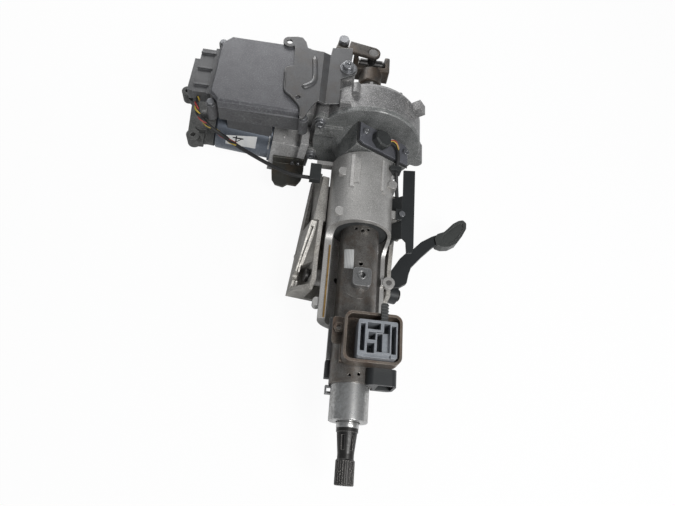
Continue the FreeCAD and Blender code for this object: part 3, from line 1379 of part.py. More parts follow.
def joint_parts():
    """Universal joint: fork on the output shaft, cross with its cups, folding clamp yoke."""
    y = d.cross_station
    back = y - d.cross_back
    half, inner, outer = d.fork_half, d.fork_inner, d.fork_inner + d.fork_wall
    ears = []
    for side in (-1, 1):
        name = "fork_ear_%s" % ("right" if side > 0 else "left")
        span = sorted((side * inner, side * outer), key=lambda size: size.value)
        ears.append(block(name, span, (back - 1, y), (-half, half)))
        ears.append(rod(name + "_eye", "x", half, span, (y, 0)))
    web = block("fork_web", (-outer, outer), (back - 2, back + 5), (-half, half))
    hub = rod("fork_hub", "y", 15, (back - 22, back))
    bore = rod("fork_bore", "y", d.output_radius - 1, (back - 23, back))
    eyes = rod("fork_eyes", "x", d.cup_radius, (-30, 30), (y, 0))
    node(cut("output_yoke", fuse("fork_forged", web, hub, *ears), bore, eyes))
    arm_x, arm_z = outer - 2.5, d.ear_inner + d.ear_wall - 2.3
    node(fuse(
        "joint_cross",
        rod("cross_pin_x", "x", d.pin_radius, (-arm_x, arm_x), (y, 0)),
        rod("cross_pin_z", "z", d.pin_radius, (-arm_z, arm_z), (0, y)),
        rod("cross_body_x", "x", 6, (-15, 15), (y, 0)),
        rod("cross_body_z", "z", 6, (-13, 13), (0, y)),
    ))
    gap = d.pin_radius + d.running_gap
    cups = []
    for side in (-1, 1):
        name = "fork_cup_%s" % ("right" if side > 0 else "left")
        span = sorted((side * (inner - 1.5), side * (outer - 0.4)), key=lambda size: size.value)
        well = sorted((side * (inner - 3), side * (arm_x + 0.3)), key=lambda size: size.value)
        cups.append(cut(
            name, rod(name + "_outside", "x", d.cup_radius, span, (y, 0)), rod(name + "_well", "x", gap, well, (y, 0))
        ))
    node(group("fork_cups", cups))
    fold = FreeCAD.Placement(V(0, y.value, 0), FreeCAD.Rotation(V(0, 0, 1), d.yoke_fold.value))
    side_half = d.ear_half
    low, high = d.ear_inner, d.ear_inner + d.ear_wall
    web_high = d.web_inner + d.web_wall
    parts = []
    for side in (-1, 1):
        name = "clamp_ear_%s" % ("top" if side > 0 else "bottom")
        span = sorted((side * low, side * high), key=lambda size: size.value)
        parts.append(rod(name + "_eye", "z", side_half, span))
        parts.append(block(name, (-side_half, side_half), (0, web_high), span))
    parts.append(block("clamp_web", (-side_half, side_half), (d.web_inner, web_high), (-high, high)))
    parts.append(rod("clamp_hub", "y", d.yoke_hub_radius, (web_high - 1, d.yoke_end)))
    parts.append(block("clamp_ears", (0, d.yoke_hub_radius + 9), (web_high + 3, d.yoke_end), (-10.5, 10.5)))
    pinch = (d.yoke_hub_radius + 2, (web_high + 3 + d.yoke_end) / 2)
    cutters = [
        rod("clamp_eyes", "z", d.cup_radius, (-30, 30)),
        rod("clamp_spline", "y", d.yoke_bore, (d.web_inner + 1, d.yoke_end + 1)),
        block("clamp_slit", (0, 40), (web_high + 2, d.yoke_end + 1), (-1.2, 1.2)),
        rod("pinch_hole", "z", 4.1, (-12, 12), pinch),
    ]
    yoke = cut("clamp_yoke", fuse("clamp_forged", *parts), *cutters)
    yoke.Placement = fold
    node(yoke)
    cups = []
    for side in (-1, 1):
        name = "clamp_cup_%s" % ("top" if side > 0 else "bottom")
        span = sorted((side * (low - 1.5), side * (high - 0.4)), key=lambda size: size.value)
        well = sorted((side * (low - 3), side * (arm_z + 0.3)), key=lambda size: size.value)
        cups.append(cut(
            name, rod(name + "_outside", "z", d.cup_radius, span, (0, y)), rod(name + "_well", "z", gap, well, (0, y))
        ))
    node(group("clamp_cups", cups))
    bolt = fuse(
        "pinch_bolt",
        rod("pinch_shank", "z", 4, (-12, 12), pinch),
        rod("pinch_head", "z", 6.5, (10.5, 16), pinch),
        rod("pinch_nut", "z", 6.2, (-16, -10.5), pinch),
    )
    bolt.Placement = fold
    node(bolt)


def tilted(u, y, n):
    """A point given in the sensor plate's own frame."""
    turn = FreeCAD.Rotation(V(0, 1, 0), d.sensor_tilt.value)
    return turn.multVec(V(u, y, n))


def tube(label, route, radius):
    """A cable along straight runs joined by arcs as large as the runs allow."""
    points = [V(*p) if not isinstance(p, V) else p for p in route]
    arcs = []
    for before, spot, after in zip(points, points[1:], points[2:]):
        one, two = (before - spot), (after - spot)
        shorter = min(one.Length, two.Length)
        turn = math.pi - one.getAngle(two)
        bend = 0.45 * shorter / math.tan(turn / 2)
        back = bend * math.tan(turn / 2)
        one.normalize()
        two.normalize()
        start, end = spot + one * back, spot + two * back
        middle = one + two
        middle.normalize()
        centre = spot + middle * (bend / math.cos(turn / 2))
        crown = centre - middle * bend
        arcs.append((start, crown, end))
        print("%s arc radius %.1f turn %.0f" % (label, bend, math.degrees(turn)))
    edges = []
    last = points[0]
    for start, crown, end in arcs:
        if (start - last).Length > 1e-4:
            edges.append(Part.LineSegment(last, start).toShape())
        edges.append(Part.Arc(start, crown, end).toShape())
        last = end
    edges.append(Part.LineSegment(last, points[-1]).toShape())
    path = Part.Wire(edges)
    ring = Part.Circle(points[0], points[1] - points[0], radius.value).toShape()
    shape = path.makePipeShell([Part.Wire(ring)], True, False)
    made = doc.addObject("Part::Feature", label)
    made.Shape = shape
    section = math.pi * radius.value ** 2
    print("%s length %.1f volume %.1f section times length %.1f"
          % (label, path.Length, shape.Volume, section * path.Length))
    return made


def cables():
    """Sensor lead down the right side, and the lead from the clip to the control unit."""
    top = d.sensor_face.value + 8.4
    right = tube("sensor_cable_right", [
        tilted(4.13, 365, top), tilted(15, 365, top), tilted(19.5, 351, top - 1), (34.8, 336, 21.5),
        (37.5, 322, 12), (41.3, 309, 0.2), (41.6, 295, -4.5),
    ], d.cable_radius)
    node(right)
    left = tube("sensor_cable_left", [
        (-64, 322, 5), (-82, 322, 5), (-105, 329.5, 5), (-130, 341, 5), (-153, 352.5, 6), (-173, 363, 9),
        (-188, 367, 18), (-198, 371, 30), (-201, 379.5, 36.5), (-201, 390, 36.5),
    ], d.cable_radius)
    node(left)
    node(block("cable_plug", (-64, -51), (318, 340), (1, 9)))
    jacket = rod("clip_jacket", "y", d.jacket_radius, (300, 345), (d.jacket_shift, 0))
    clip = block("clip_block", (27, 40), (333, 338.5), (15, 27))
    settle()
    made = doc.addObject("Part::Feature", "cable_clip")
    made.Shape = clip.Shape.cut([jacket.Shape, right.Shape])
    node(made)


for build in (
    steering_shaft, inner_tube, outer_tube, side_bracket, lock_parts, clamp, lever, console,
    gear_cover, gear_housing, geared_shafts, worm_gear, drive, control_unit, torque_sensor,
    joint_parts, cables,
):
    build()
settle()
for piece in NODES:
    if piece.Shape.isNull() or not piece.Shape.isValid() or not piece.Shape.Solids:
        raise RuntimeError("%s has no sound shape" % piece.Label)
os.makedirs("parts", exist_ok=True)
for piece in NODES:
    piece.Shape.exportStep("parts/%s.step" % piece.Label)
print("%d pieces, %.0f cubic millimetres" % (len(NODES), sum(piece.Shape.Volume for piece in NODES)))
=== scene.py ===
"""The looks of an electric steering column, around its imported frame.

Everything is in metres in the row frame: Y runs along the steering axis from the wheel end to the
universal joint, X is the side of the adjustment lever, and Z is the side of the steering lock.
"""

import math

import bmesh
import bpy
from mathutils import Matrix, Vector


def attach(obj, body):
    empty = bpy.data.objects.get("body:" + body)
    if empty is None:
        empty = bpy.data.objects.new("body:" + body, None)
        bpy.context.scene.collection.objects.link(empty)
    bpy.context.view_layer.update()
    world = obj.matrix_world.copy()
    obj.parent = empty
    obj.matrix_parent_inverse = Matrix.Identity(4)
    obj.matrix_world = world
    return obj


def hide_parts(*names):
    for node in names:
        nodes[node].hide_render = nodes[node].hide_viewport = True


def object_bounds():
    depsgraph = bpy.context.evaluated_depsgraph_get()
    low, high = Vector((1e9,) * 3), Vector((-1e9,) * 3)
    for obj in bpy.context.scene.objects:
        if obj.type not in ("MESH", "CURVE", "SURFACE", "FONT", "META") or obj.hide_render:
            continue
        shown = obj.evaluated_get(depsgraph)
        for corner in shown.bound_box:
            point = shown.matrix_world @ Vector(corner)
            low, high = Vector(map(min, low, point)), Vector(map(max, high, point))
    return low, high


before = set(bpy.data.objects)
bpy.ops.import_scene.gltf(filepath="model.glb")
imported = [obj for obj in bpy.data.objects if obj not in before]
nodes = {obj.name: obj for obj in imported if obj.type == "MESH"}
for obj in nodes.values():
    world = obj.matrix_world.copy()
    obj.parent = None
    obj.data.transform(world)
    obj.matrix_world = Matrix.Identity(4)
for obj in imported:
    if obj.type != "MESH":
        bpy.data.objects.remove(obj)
cad_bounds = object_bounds()

# The camera stands over the wheel end, on the lock's side, and looks along the column and down.
# Its three axes and its place are those at which the photograph's steering axis, control unit and
# lever fall on each other.
camera_right = Vector((0.99024, 0.07627, 0.11668))
camera_up = Vector((-0.11937, 0.89626, 0.42717))
camera_back = Vector((-0.072, -0.43693, 0.89661))
camera_place = Vector((-0.0635, -0.0119, 0.4999))
lens_px = 507.0
image_width_px = 675.0
sensor_width_mm = 36.0
nearest_view = 0.01

camera_data = bpy.data.cameras.new("camera")
camera_data.sensor_fit = "HORIZONTAL"
camera_data.sensor_width = sensor_width_mm
camera_data.lens = sensor_width_mm * lens_px / image_width_px
camera_data.clip_start = nearest_view
camera = bpy.data.objects.new("camera", camera_data)
camera.matrix_world = Matrix.Translation(camera_place) @ Matrix(
    (camera_right, camera_up, camera_back)
).transposed().to_4x4()
bpy.context.scene.collection.objects.link(camera)
bpy.context.scene.camera = camera
bpy.context.scene.view_settings.view_transform = "Standard"

# The floor is a pale sheet of card just under the column's lowest corner. It shows white to the
# camera and keeps a soft part of the shadow.
floor_gap = 0.004
floor_half_width = 4.0
floor_middle = 0.25
floor_white_share = 0.95


def put(tree, kind, settings=None, **inputs):
    """Adds a shader node. An input that is given a socket is linked, and any other value is set.

    An input is named by its label, or by its number after an underscore where labels repeat.
    """
    made = tree.nodes.new("ShaderNode" + kind)
    for key, value in (settings or {}).items():
        setattr(made, key, value)
    for key, value in inputs.items():
        place = int(key[1:]) if key[0] == "_" else key.replace("_", " ")
        if isinstance(value, bpy.types.NodeSocket):
            tree.links.new(value, made.inputs[place])
        else:
            made.inputs[place].default_value = value
    return made


def new_material(name):
    """An empty node material, its tree and its output node."""
    made = bpy.data.materials.new(name)
    made.use_nodes = True
    made.node_tree.nodes.clear()
    return made, made.node_tree, made.node_tree.nodes.new("ShaderNodeOutputMaterial")


floor_material, tree, output = new_material("pale_floor")
path = put(tree, "LightPath")
share = put(tree, "Math", {"operation": "MULTIPLY"}, _0=path.outputs["Is Camera Ray"], _1=floor_white_share)
card = put(tree, "BsdfDiffuse", Color=(0.80, 0.80, 0.80, 1.0))
white = put(tree, "Emission", Color=(1.0, 1.0, 1.0, 1.0), Strength=1.0)
both = put(tree, "MixShader", _0=share.outputs[0], _1=card.outputs[0], _2=white.outputs[0])
tree.links.new(both.outputs[0], output.inputs["Surface"])

sheet = bmesh.new()
bmesh.ops.create_grid(sheet, x_segments=1, y_segments=1, size=floor_half_width)
bmesh.ops.translate(sheet, vec=(0.0, floor_middle, cad_bounds[0][2] - floor_gap), verts=sheet.verts)
floor_mesh = bpy.data.meshes.new("floor")
sheet.to_mesh(floor_mesh)
sheet.free()
floor_mesh.materials.append(floor_material)
floor = bpy.data.objects.new("floor", floor_mesh)
bpy.context.scene.collection.objects.link(floor)

# The light is a dim even room that the camera sees as white, a broad soft lamp above the wheel end
# on the lever's side, and a low one behind the joint that draws the far edges of the castings.
room_tint, room_strength = (0.92, 0.96, 1.0, 1.0), 0.22
world = bpy.data.worlds.new("studio")
bpy.context.scene.world = world
world.use_nodes = True
tree = world.node_tree
tree.nodes.clear()
path = put(tree, "LightPath")
room = put(tree, "Background", Color=room_tint, Strength=room_strength)
backdrop = put(tree, "Background", Color=(1.0, 1.0, 1.0, 1.0), Strength=1.0)
both = put(
    tree, "MixShader", _0=path.outputs["Is Camera Ray"], _1=room.outputs[0], _2=backdrop.outputs[0]
)
put(tree, "OutputWorld", Surface=both.outputs[0])


def lamp(name, place, aim, size, power):
    """A soft rectangular lamp at a place, turned towards another."""
    data = bpy.data.lights.new(name, "AREA")
    data.shape = "RECTANGLE"
    data.size, data.size_y = size
    data.energy = power
    made = bpy.data.objects.new(name, data)
    turn = (Vector(aim) - Vector(place)).to_track_quat("-Z", "Y")
    made.matrix_world = Matrix.Translation(place) @ turn.to_matrix().to_4x4()
    bpy.context.scene.collection.objects.link(made)


lamp("key_lamp", place=(0.38, -0.22, 0.88), aim=(-0.02, 0.26, 0.0), size=(0.3, 0.5), power=10.0)
lamp("rim_lamp", place=(-0.25, 1.25, 0.40), aim=(-0.05, 0.40, 0.0), size=(0.7, 0.3), power=6.0)

# The mounting console is a sand-grained aluminium pressure casting that bolts to the car's beam.
# Its skin has a sparkling grain where it was left as cast, and its long edges carry worn metal and a painted
# highlight.


def new_group(name, ins, outs):
    """A shader node group with named sockets: its tree, its input node and its output node."""
    made = bpy.data.node_groups.new(name, "ShaderNodeTree")
    for socket, kind, value in ins:
        given = made.interface.new_socket(socket, in_out="INPUT", socket_type="NodeSocket" + kind)
        if value is not None:
            given.default_value = value
    for socket, kind in outs:
        made.interface.new_socket(socket, in_out="OUTPUT", socket_type="NodeSocket" + kind)
    return made, made.nodes.new("NodeGroupInput"), made.nodes.new("NodeGroupOutput")


# Edges: where two faces meet, the normal is rounded over, and the skin takes a bright tone that is partly
# wear and partly a painted highlight.
worn_and_highlit_edges, given, result = new_group(
    "worn_and_highlit_edges",
    [("Radius", "Float", 0.0006), ("Gain", "Float", 6.0)],
    [("Normal", "Vector"), ("WearAndHighlight", "Float")],
)
rounded = put(worn_and_highlit_edges, "Bevel", {"samples": 6}, Radius=given.outputs["Radius"])
flat = put(worn_and_highlit_edges, "NewGeometry")
turned = put(
    worn_and_highlit_edges, "VectorMath", {"operation": "DOT_PRODUCT"}, _0=rounded.outputs[0], _1=flat.outputs["Normal"]
)
away = put(worn_and_highlit_edges, "Math", {"operation": "SUBTRACT"}, _0=1.0, _1=turned.outputs["Value"])
wear_and_highlight = put(
    worn_and_highlit_edges, "Math", {"operation": "MULTIPLY", "use_clamp": True},
    _0=away.outputs[0], _1=given.outputs["Gain"]
)
worn_and_highlit_edges.links.new(rounded.outputs[0], result.inputs["Normal"])
worn_and_highlit_edges.links.new(wear_and_highlight.outputs[0], result.inputs["WearAndHighlight"])

# Skin: a fine grain with soft patches over it, and the few grains that catch the light.
skin_grain, given, result = new_group(
    "skin_grain",
    [("Vector", "Vector", None), ("Grain", "Float", 1100.0), ("Patch", "Float", 60.0)],
    [("Height", "Float"), ("Tone", "Float"), ("Flecks", "Float")],
)
fine = put(
    skin_grain, "TexNoise", Vector=given.outputs["Vector"], Scale=given.outputs["Grain"], Detail=3.0,
    Roughness=0.6
)
broad = put(
    skin_grain, "TexNoise", Vector=given.outputs["Vector"], Scale=given.outputs["Patch"], Detail=5.0,
    Roughness=0.62
)
patches = put(
    skin_grain, "MapRange", Value=broad.outputs[0], From_Min=0.34, From_Max=0.66, To_Min=0.0, To_Max=0.45
)
speckle = put(
    skin_grain, "MapRange", Value=fine.outputs[0], From_Min=0.4, From_Max=0.6, To_Min=0.0, To_Max=0.6
)
tone = put(
    skin_grain, "Math", {"operation": "ADD", "use_clamp": True}, _0=speckle.outputs[0], _1=patches.outputs[0]
)
flecks = put(
    skin_grain, "MapRange", Value=fine.outputs[0], From_Min=0.56, From_Max=0.66, To_Min=0.0, To_Max=1.0
)
skin_grain.links.new(fine.outputs[0], result.inputs["Height"])
skin_grain.links.new(tone.outputs[0], result.inputs["Tone"])
skin_grain.links.new(flecks.outputs[0], result.inputs["Flecks"])


def blend_colour(tree, factor, first, second):
    """A mix of two colours, either of which may be a socket. The node's colour sockets are 6 and 7."""
    made = put(tree, "Mix", {"data_type": "RGBA"}, _0=factor, _6=first, _7=second)
    return made.outputs[2]


def colour(red, green, blue):
    """A colour in the shader's linear values from screen values of 0 to 255."""
    return tuple(((value / 255.0 + 0.055) / 1.055) ** 2.4 for value in (red, green, blue)) + (1.0,)


def darker(tint, share):
    """A colour whose three values are cut to a share of what they were."""
    return tuple(share * value for value in tint[:3]) + (1.0,)


def worn_skin(name, light, dark, edge, metallic, roughness, grain=1100.0, patch=60.0, depth=0.00006,
              radius=0.0005, wear_and_highlight=0.7, sparkle=0.0, stain=None, stain_share=0.0, coat=0.0):
    """A worn, grained surface: light and dark are its two tones, and edge shows at its corners as wear and as
    a painted highlight.

    Sparkle is how much the bright flecks show, and stain is a third tone that spreads in blots.
    """
    made, tree, output = new_material(name)
    place = put(tree, "TexCoord").outputs["Object"]
    skin = put(tree, "Group", {"node_tree": skin_grain}, Vector=place, Grain=grain, Patch=patch)
    edges = put(tree, "Group", {"node_tree": worn_and_highlit_edges}, Radius=radius)
    tint = blend_colour(tree, skin.outputs["Tone"], dark, light)
    if stain:
        marks = put(tree, "TexNoise", Vector=place, Scale=patch * 0.8, Detail=6.0, Roughness=0.7)
        blots = put(
            tree, "MapRange", Value=marks.outputs[0], From_Min=0.47, From_Max=0.62, To_Min=0.0,
            To_Max=stain_share
        )
        tint = blend_colour(tree, blots.outputs[0], tint, stain)
    if sparkle:
        glints = put(tree, "Math", {"operation": "MULTIPLY"}, _0=skin.outputs["Flecks"], _1=sparkle)
        tint = blend_colour(tree, glints.outputs[0], tint, edge)
    # The edge tone along every edge is rubbed wear together with a painted highlight.
    rubbed_and_highlit = put(tree, "Math", {"operation": "MULTIPLY"}, _0=edges.outputs["WearAndHighlight"], _1=wear_and_highlight)
    tint = blend_colour(tree, rubbed_and_highlit.outputs[0], tint, edge)
    gloss = put(
        tree, "MapRange", Value=skin.outputs["Tone"], From_Min=0.0, From_Max=1.0,
        To_Min=min(1.0, roughness + 0.1), To_Max=roughness - 0.05
    )
    bump = put(
        tree, "Bump", Strength=1.0, Distance=depth, Height=skin.outputs["Height"],
        Normal=edges.outputs["Normal"]
    )
    shader = put(
        tree, "BsdfPrincipled", Base_Color=tint, Metallic=metallic, Roughness=gloss.outputs[0],
        Normal=bump.outputs[0], Coat_Weight=coat
    )
    tree.links.new(shader.outputs[0], output.inputs["Surface"])
    return made


def dress(material, *names):
    """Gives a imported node's surface this material."""
    for name in names:
        for slot in nodes[name].material_slots:
            slot.material = material


console_casting = worn_skin(
    "console_casting", light=colour(190, 187, 181), dark=colour(128, 125, 120), edge=colour(206, 202, 196),
    metallic=0.35, roughness=0.48, grain=900.0, sparkle=0.6, wear_and_highlight=0.2, stain=colour(110, 100, 88),
    stain_share=0.3
)
dress(console_casting, "mounting_console")

# The outer jacket is a long aluminium casting, blasted dull along its barrel. Two flat ribs stand on
# the barrel behind the window, in a lighter copy of its skin that paints a highlight on them, and the
# rear end is bored for the gear cover's neck.
jacket_casting = worn_skin(
    "jacket_casting", light=colour(204, 202, 199), dark=colour(158, 156, 153), edge=colour(224, 222, 219),
    metallic=0.65, roughness=0.4, grain=1000.0, sparkle=0.5
)
dress(jacket_casting, "outer_tube")
# Painted highlight: the ribs get a lighter copy of the jacket's skin.
highlit_rib_casting = worn_skin(
    "highlit_rib_casting", light=colour(216, 214, 211), dark=colour(176, 174, 171), edge=colour(232, 230, 227),
    metallic=0.5, roughness=0.4, grain=1000.0, sparkle=0.5
)
jacket_centre_x = -0.002
rib_centre_radius = 0.0372
rib_depth = 0.0024
rib_edge_radius = 0.0006


def piece(name, shape, material, body):
    """Turns a mesh in hand into a named piece that rides on a body of the frame."""
    shape.normal_update()
    bmesh.ops.recalc_face_normals(shape, faces=shape.faces)
    mesh = bpy.data.meshes.new(name)
    shape.to_mesh(mesh)
    shape.free()
    mesh.materials.append(material)
    made = bpy.data.objects.new(name, mesh)
    bpy.context.scene.collection.objects.link(made)
    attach(made, body)
    return made


for name, turn, width, front, back in (
    ("jacket_rib_left", -23.5, 0.0046, 0.298, 0.341),
    ("jacket_rib_right", 32.0, 0.0038, 0.299, 0.340),
):
    rib = bmesh.new()
    bmesh.ops.create_cube(rib, size=1.0)
    bmesh.ops.scale(rib, vec=(width, back - front, rib_depth), verts=rib.verts)
    bmesh.ops.bevel(
        rib, geom=rib.edges, offset=rib_edge_radius, affect="EDGES", segments=3, profile=0.5, material=-1
    )
    bmesh.ops.translate(rib, vec=(0.0, (front + back) / 2, rib_centre_radius), verts=rib.verts)
    bmesh.ops.rotate(
        rib, cent=(0.0, 0.0, 0.0), matrix=Matrix.Rotation(math.radians(turn), 3, "Y"), verts=rib.verts
    )
    bmesh.ops.translate(rib, vec=(jacket_centre_x, 0.0, 0.0), verts=rib.verts)
    piece(name, rib, highlit_rib_casting, "column")

# Guide bushes of a dark low-friction plastic are pressed between the two tubes. A strip of brass
# beside them takes the wear of the reach motion, and a steel pin stops it at the jacket's end.
bush_plastic = worn_skin(
    "bush_plastic", light=colour(70, 72, 72), dark=colour(50, 51, 52), edge=colour(110, 110, 110),
    metallic=0.0, roughness=0.5
)
brass_strip = worn_skin(
    "brass_strip", light=colour(186, 150, 92), dark=colour(128, 98, 54), edge=colour(230, 200, 140),
    metallic=0.7, roughness=0.34, patch=120.0
)
turned_steel = worn_skin(
    "turned_steel", light=colour(146, 144, 141), dark=colour(100, 98, 96), edge=colour(215, 213, 210),
    metallic=0.7, roughness=0.36, depth=0.00003
)
dress(bush_plastic, "guide_bushes")
dress(brass_strip, "slide_strip")
dress(turned_steel, "rail_pin")

# The inner tube is drawn steel under thin oil, so it is dark with a soft shine along its crown. It
# slides in the jacket with the steering lock on it, and carries a paper label and a rolled dent.
tube_steel = worn_skin(
    "tube_steel", light=colour(126, 123, 119), dark=colour(80, 77, 74), edge=colour(170, 166, 160),
    metallic=0.6, roughness=0.36, patch=90.0, stain=colour(84, 66, 50), stain_share=0.45, depth=0.00003
)
dress(tube_steel, "inner_tube")
tube_skin = 0.0215


def sheet_on(corners, curve, thick, rows=12, columns=12):
    """A thin sheet whose four corners are given in the plane and laid on a curved face.

    Curve takes a point of the plane and a height above the face, and returns its place.
    """
    top_left, top_right, low_right, low_left = (Vector(corner) for corner in corners)
    sheet = bmesh.new()
    for height in (0.0, thick):
        layer = bmesh.ops.create_grid(sheet, x_segments=columns, y_segments=rows, size=0.5)["verts"]
        for vertex in layer:
            across, down = 0.5 + vertex.co.x, 0.5 - vertex.co.y
            top, low = top_left.lerp(top_right, across), low_left.lerp(low_right, across)
            vertex.co = curve(top.lerp(low, down), height)
    bmesh.ops.bridge_loops(sheet, edges=[edge for edge in sheet.edges if edge.is_boundary])
    return sheet


def on_tube(point, height):
    """A place on the inner tube: an angle in degrees from the lock's side, and a station."""
    angle, station = point
    radius = tube_skin + height
    return radius * math.sin(math.radians(angle)), station, radius * math.cos(math.radians(angle))


def printed(name, ground, mark, stripes):
    """A paper surface with plain bars across it, one to each turn of a sine along X."""
    made, tree, output = new_material(name)
    place = put(tree, "TexCoord").outputs["Object"]
    apart = put(tree, "SeparateXYZ", Vector=place)
    bars = put(tree, "Math", {"operation": "MULTIPLY"}, _0=apart.outputs["X"], _1=stripes)
    wave = put(tree, "Math", {"operation": "SINE"}, _0=bars.outputs[0])
    dark_bars = put(
        tree, "MapRange", Value=wave.outputs[0], From_Min=0.35, From_Max=0.75, To_Min=0.0, To_Max=0.55
    )
    fibres = put(tree, "TexNoise", Vector=place, Scale=900.0, Detail=4.0, Roughness=0.6)
    paper = blend_colour(tree, fibres.outputs[0], ground, darker(ground, 0.86))
    tint = blend_colour(tree, dark_bars.outputs[0], paper, mark)
    bump = put(tree, "Bump", Strength=1.0, Distance=0.00002, Height=fibres.outputs[0])
    shader = put(tree, "BsdfPrincipled", Base_Color=tint, Roughness=0.55, Normal=bump.outputs[0])
    tree.links.new(shader.outputs[0], output.inputs["Surface"])
    return made


tube_paper = printed("tube_paper", ground=colour(206, 206, 204), mark=colour(96, 98, 100), stripes=4200.0)
tube_label_thick = 0.0001
tube_label_corners = ((-53.0, 0.2305), (-21.0, 0.2283), (-18.5, 0.2055), (-49.0, 0.2082))
tube_label = sheet_on(tube_label_corners, on_tube, tube_label_thick)
piece("tube_label", tube_label, tube_paper, "slider")
quarter_turn_back = Matrix.Rotation(math.radians(-90.0), 4, "Z")
end_roundness = 0.35


def run_through(points, steps=8):
    """A smooth line through the points, with its ends kept."""
    line = [Vector(point) for point in points]
    line = [2 * line[0] - line[1]] + line + [2 * line[-1] - line[-2]]
    made = []
    for before, start, end, after in zip(line, line[1:], line[2:], line[3:]):
        for step in range(steps):
            t = step / steps
            made.append(0.5 * (
                2 * start + (end - before) * t + (2 * before - 5 * start + 4 * end - after) * t * t
                + (3 * start - before - 3 * end + after) * t * t * t
            ))
    return made + [line[-2]]


def straight_bar(shape, sides, count):
    """Extrudes a round bar of unit radius that stands on its end: count rings, one unit apart."""
    bar = bmesh.ops.create_circle(
        shape, segments=sides, radius=1.0, cap_ends=True, matrix=quarter_turn_back
    )["verts"]
    rim = list(bar[0].link_faces[0].edges)
    for step in range(count - 1):
        grown = bmesh.ops.extrude_edge_only(shape, edges=rim)["geom"]
        ring = [part for part in grown if isinstance(part, bmesh.types.BMVert)]
        rim = [
            part for part in grown
            if isinstance(part, bmesh.types.BMEdge) and part.verts[0] in ring and part.verts[1] in ring
        ]
        bmesh.ops.translate(shape, vec=(0.0, 0.0, 1.0), verts=ring)
        bar += ring
    bmesh.ops.edgeloop_fill(shape, edges=rim)
    return bar


def sweep(shape, points, width, height, sides, upright=(0.0, 0.0, 1.0), taper=0):
    """Adds a bar with an oval section, bent to a smooth line. Taper rounds that many steps at each end."""
    line = run_through(points)
    last = len(line) - 1
    for vertex in straight_bar(shape, sides, len(line)):
        index = round(vertex.co.z)
        run = (line[min(index + 1, last)] - line[max(index - 1, 0)]).normalized()
        side = run.cross(Vector(upright)).normalized()
        near_end = min(index, last - index, taper)
        size = math.sin(math.pi / 2 * (near_end + end_roundness) / (taper + end_roundness))
        vertex.co = (
            line[index] + vertex.co.x * width * size * side + vertex.co.y * height * size * side.cross(run)
        )


def smooth(made):
    """Shades a piece's faces as one curved skin."""
    made.data.polygons.foreach_set("use_smooth", [True] * len(made.data.polygons))
    made.data.update()


dent_line = (
    (-34.0, 0.1790), (-22.0, 0.1752), (-8.0, 0.1732), (8.0, 0.1732), (22.0, 0.1752), (34.0, 0.1790),
)
dent_sink = 0.0001
dent_half_width, dent_half_height = 0.0009, 0.0005
dent = bmesh.new()
sweep(
    dent, [on_tube(point, -dent_sink) for point in dent_line], dent_half_width, dent_half_height, sides=10,
    upright=(0.0, 1.0, 0.0), taper=4
)
smooth(piece("tube_dent_rim", dent, tube_steel, "slider"))

# The bearing collar is turned bright steel over the tube's mouth, with a rolled front edge, and the
# shaft's ball bearing sits in it.
polished_steel = worn_skin(
    "polished_steel", light=colour(196, 196, 195), dark=colour(152, 151, 149), edge=colour(240, 240, 239),
    metallic=0.85, roughness=0.3, grain=400.0, depth=0.00001
)
dress(polished_steel, "bearing_collar")
dress(turned_steel, "upper_bearing", "upper_bearing_race")

# The steering shaft is forged steel with a black phosphate skin. Its cone and spline are cut after
# the coating, so their edges are bare, and a turned band behind the cone is bare all round.
phosphate_steel = worn_skin(
    "phosphate_steel", light=colour(58, 57, 56), dark=colour(34, 33, 32), edge=colour(176, 172, 168),
    metallic=0.5, roughness=0.34, depth=0.00003, wear_and_highlight=0.9, radius=0.0004
)
dress(phosphate_steel, "steering_shaft")
band_radius, band_front, band_back = 0.01055, 0.0492, 0.0566
band_stand, band_sink, band_chamfer = 0.0002, 0.0004, 0.0006
band = bmesh.new()
corners = [
    band.verts.new((radius, station, 0.0)) for radius, station in (
        (band_radius - band_sink, band_front), (band_radius + band_stand, band_front + band_chamfer),
        (band_radius + band_stand, band_back - band_chamfer), (band_radius - band_sink, band_back),
    )
]
section = [band.edges.new(pair) for pair in zip(corners, corners[1:] + corners[:1])]
bmesh.ops.spin(
    band, geom=corners + section, cent=(0.0, 0.0, 0.0), axis=(0.0, 1.0, 0.0), angle=2 * math.pi, steps=48,
    use_merge=True
)
smooth(piece("shaft_bare_band", band, polished_steel, "upper_spindle"))

# The lock bracket is a pressed steel seat welded round the tube, with rust in its weld and heat
# colours about it. A moulded grey insert with seven cells fills it, a ribbed finger stands on its
# back wall, and a dark shroud closes it underneath.
rusty_steel = worn_skin(
    "rusty_steel", light=colour(116, 107, 98), dark=colour(62, 55, 49), edge=colour(188, 178, 166),
    metallic=0.35, roughness=0.46, patch=70.0, stain=colour(98, 70, 52), stain_share=0.4
)
grey_plastic = worn_skin(
    "grey_plastic", light=colour(140, 144, 149), dark=colour(100, 103, 108), edge=colour(206, 208, 212),
    metallic=0.0, roughness=0.38, depth=0.00003
)
black_plastic = worn_skin(
    "black_plastic", light=colour(58, 60, 60), dark=colour(38, 39, 39), edge=colour(120, 120, 120),
    metallic=0.0, roughness=0.38, depth=0.00003, wear_and_highlight=0.5
)
black_steel = worn_skin(
    "black_steel", light=colour(48, 50, 51), dark=colour(34, 36, 37), edge=colour(140, 140, 140),
    metallic=0.15, roughness=0.38, wear_and_highlight=0.5
)
dress(rusty_steel, "lock_bracket")
dress(grey_plastic, "lock_insert")
dress(black_plastic, "guide_block")
dress(black_steel, "lock_shroud")

# Bright pressed strips beside the lock guide it along the jacket: the rail with its moulded stop, a
# spring clip, and the stop plate with a raised ring round its hole.
strip_steel = worn_skin(
    "strip_steel", light=colour(138, 138, 138), dark=colour(96, 96, 96), edge=colour(222, 222, 220),
    metallic=0.6, roughness=0.34, grain=700.0, depth=0.00003, wear_and_highlight=0.9
)
dress(strip_steel, "slide_rail", "spring_clip", "stop_plate")
dress(black_plastic, "rail_stop")

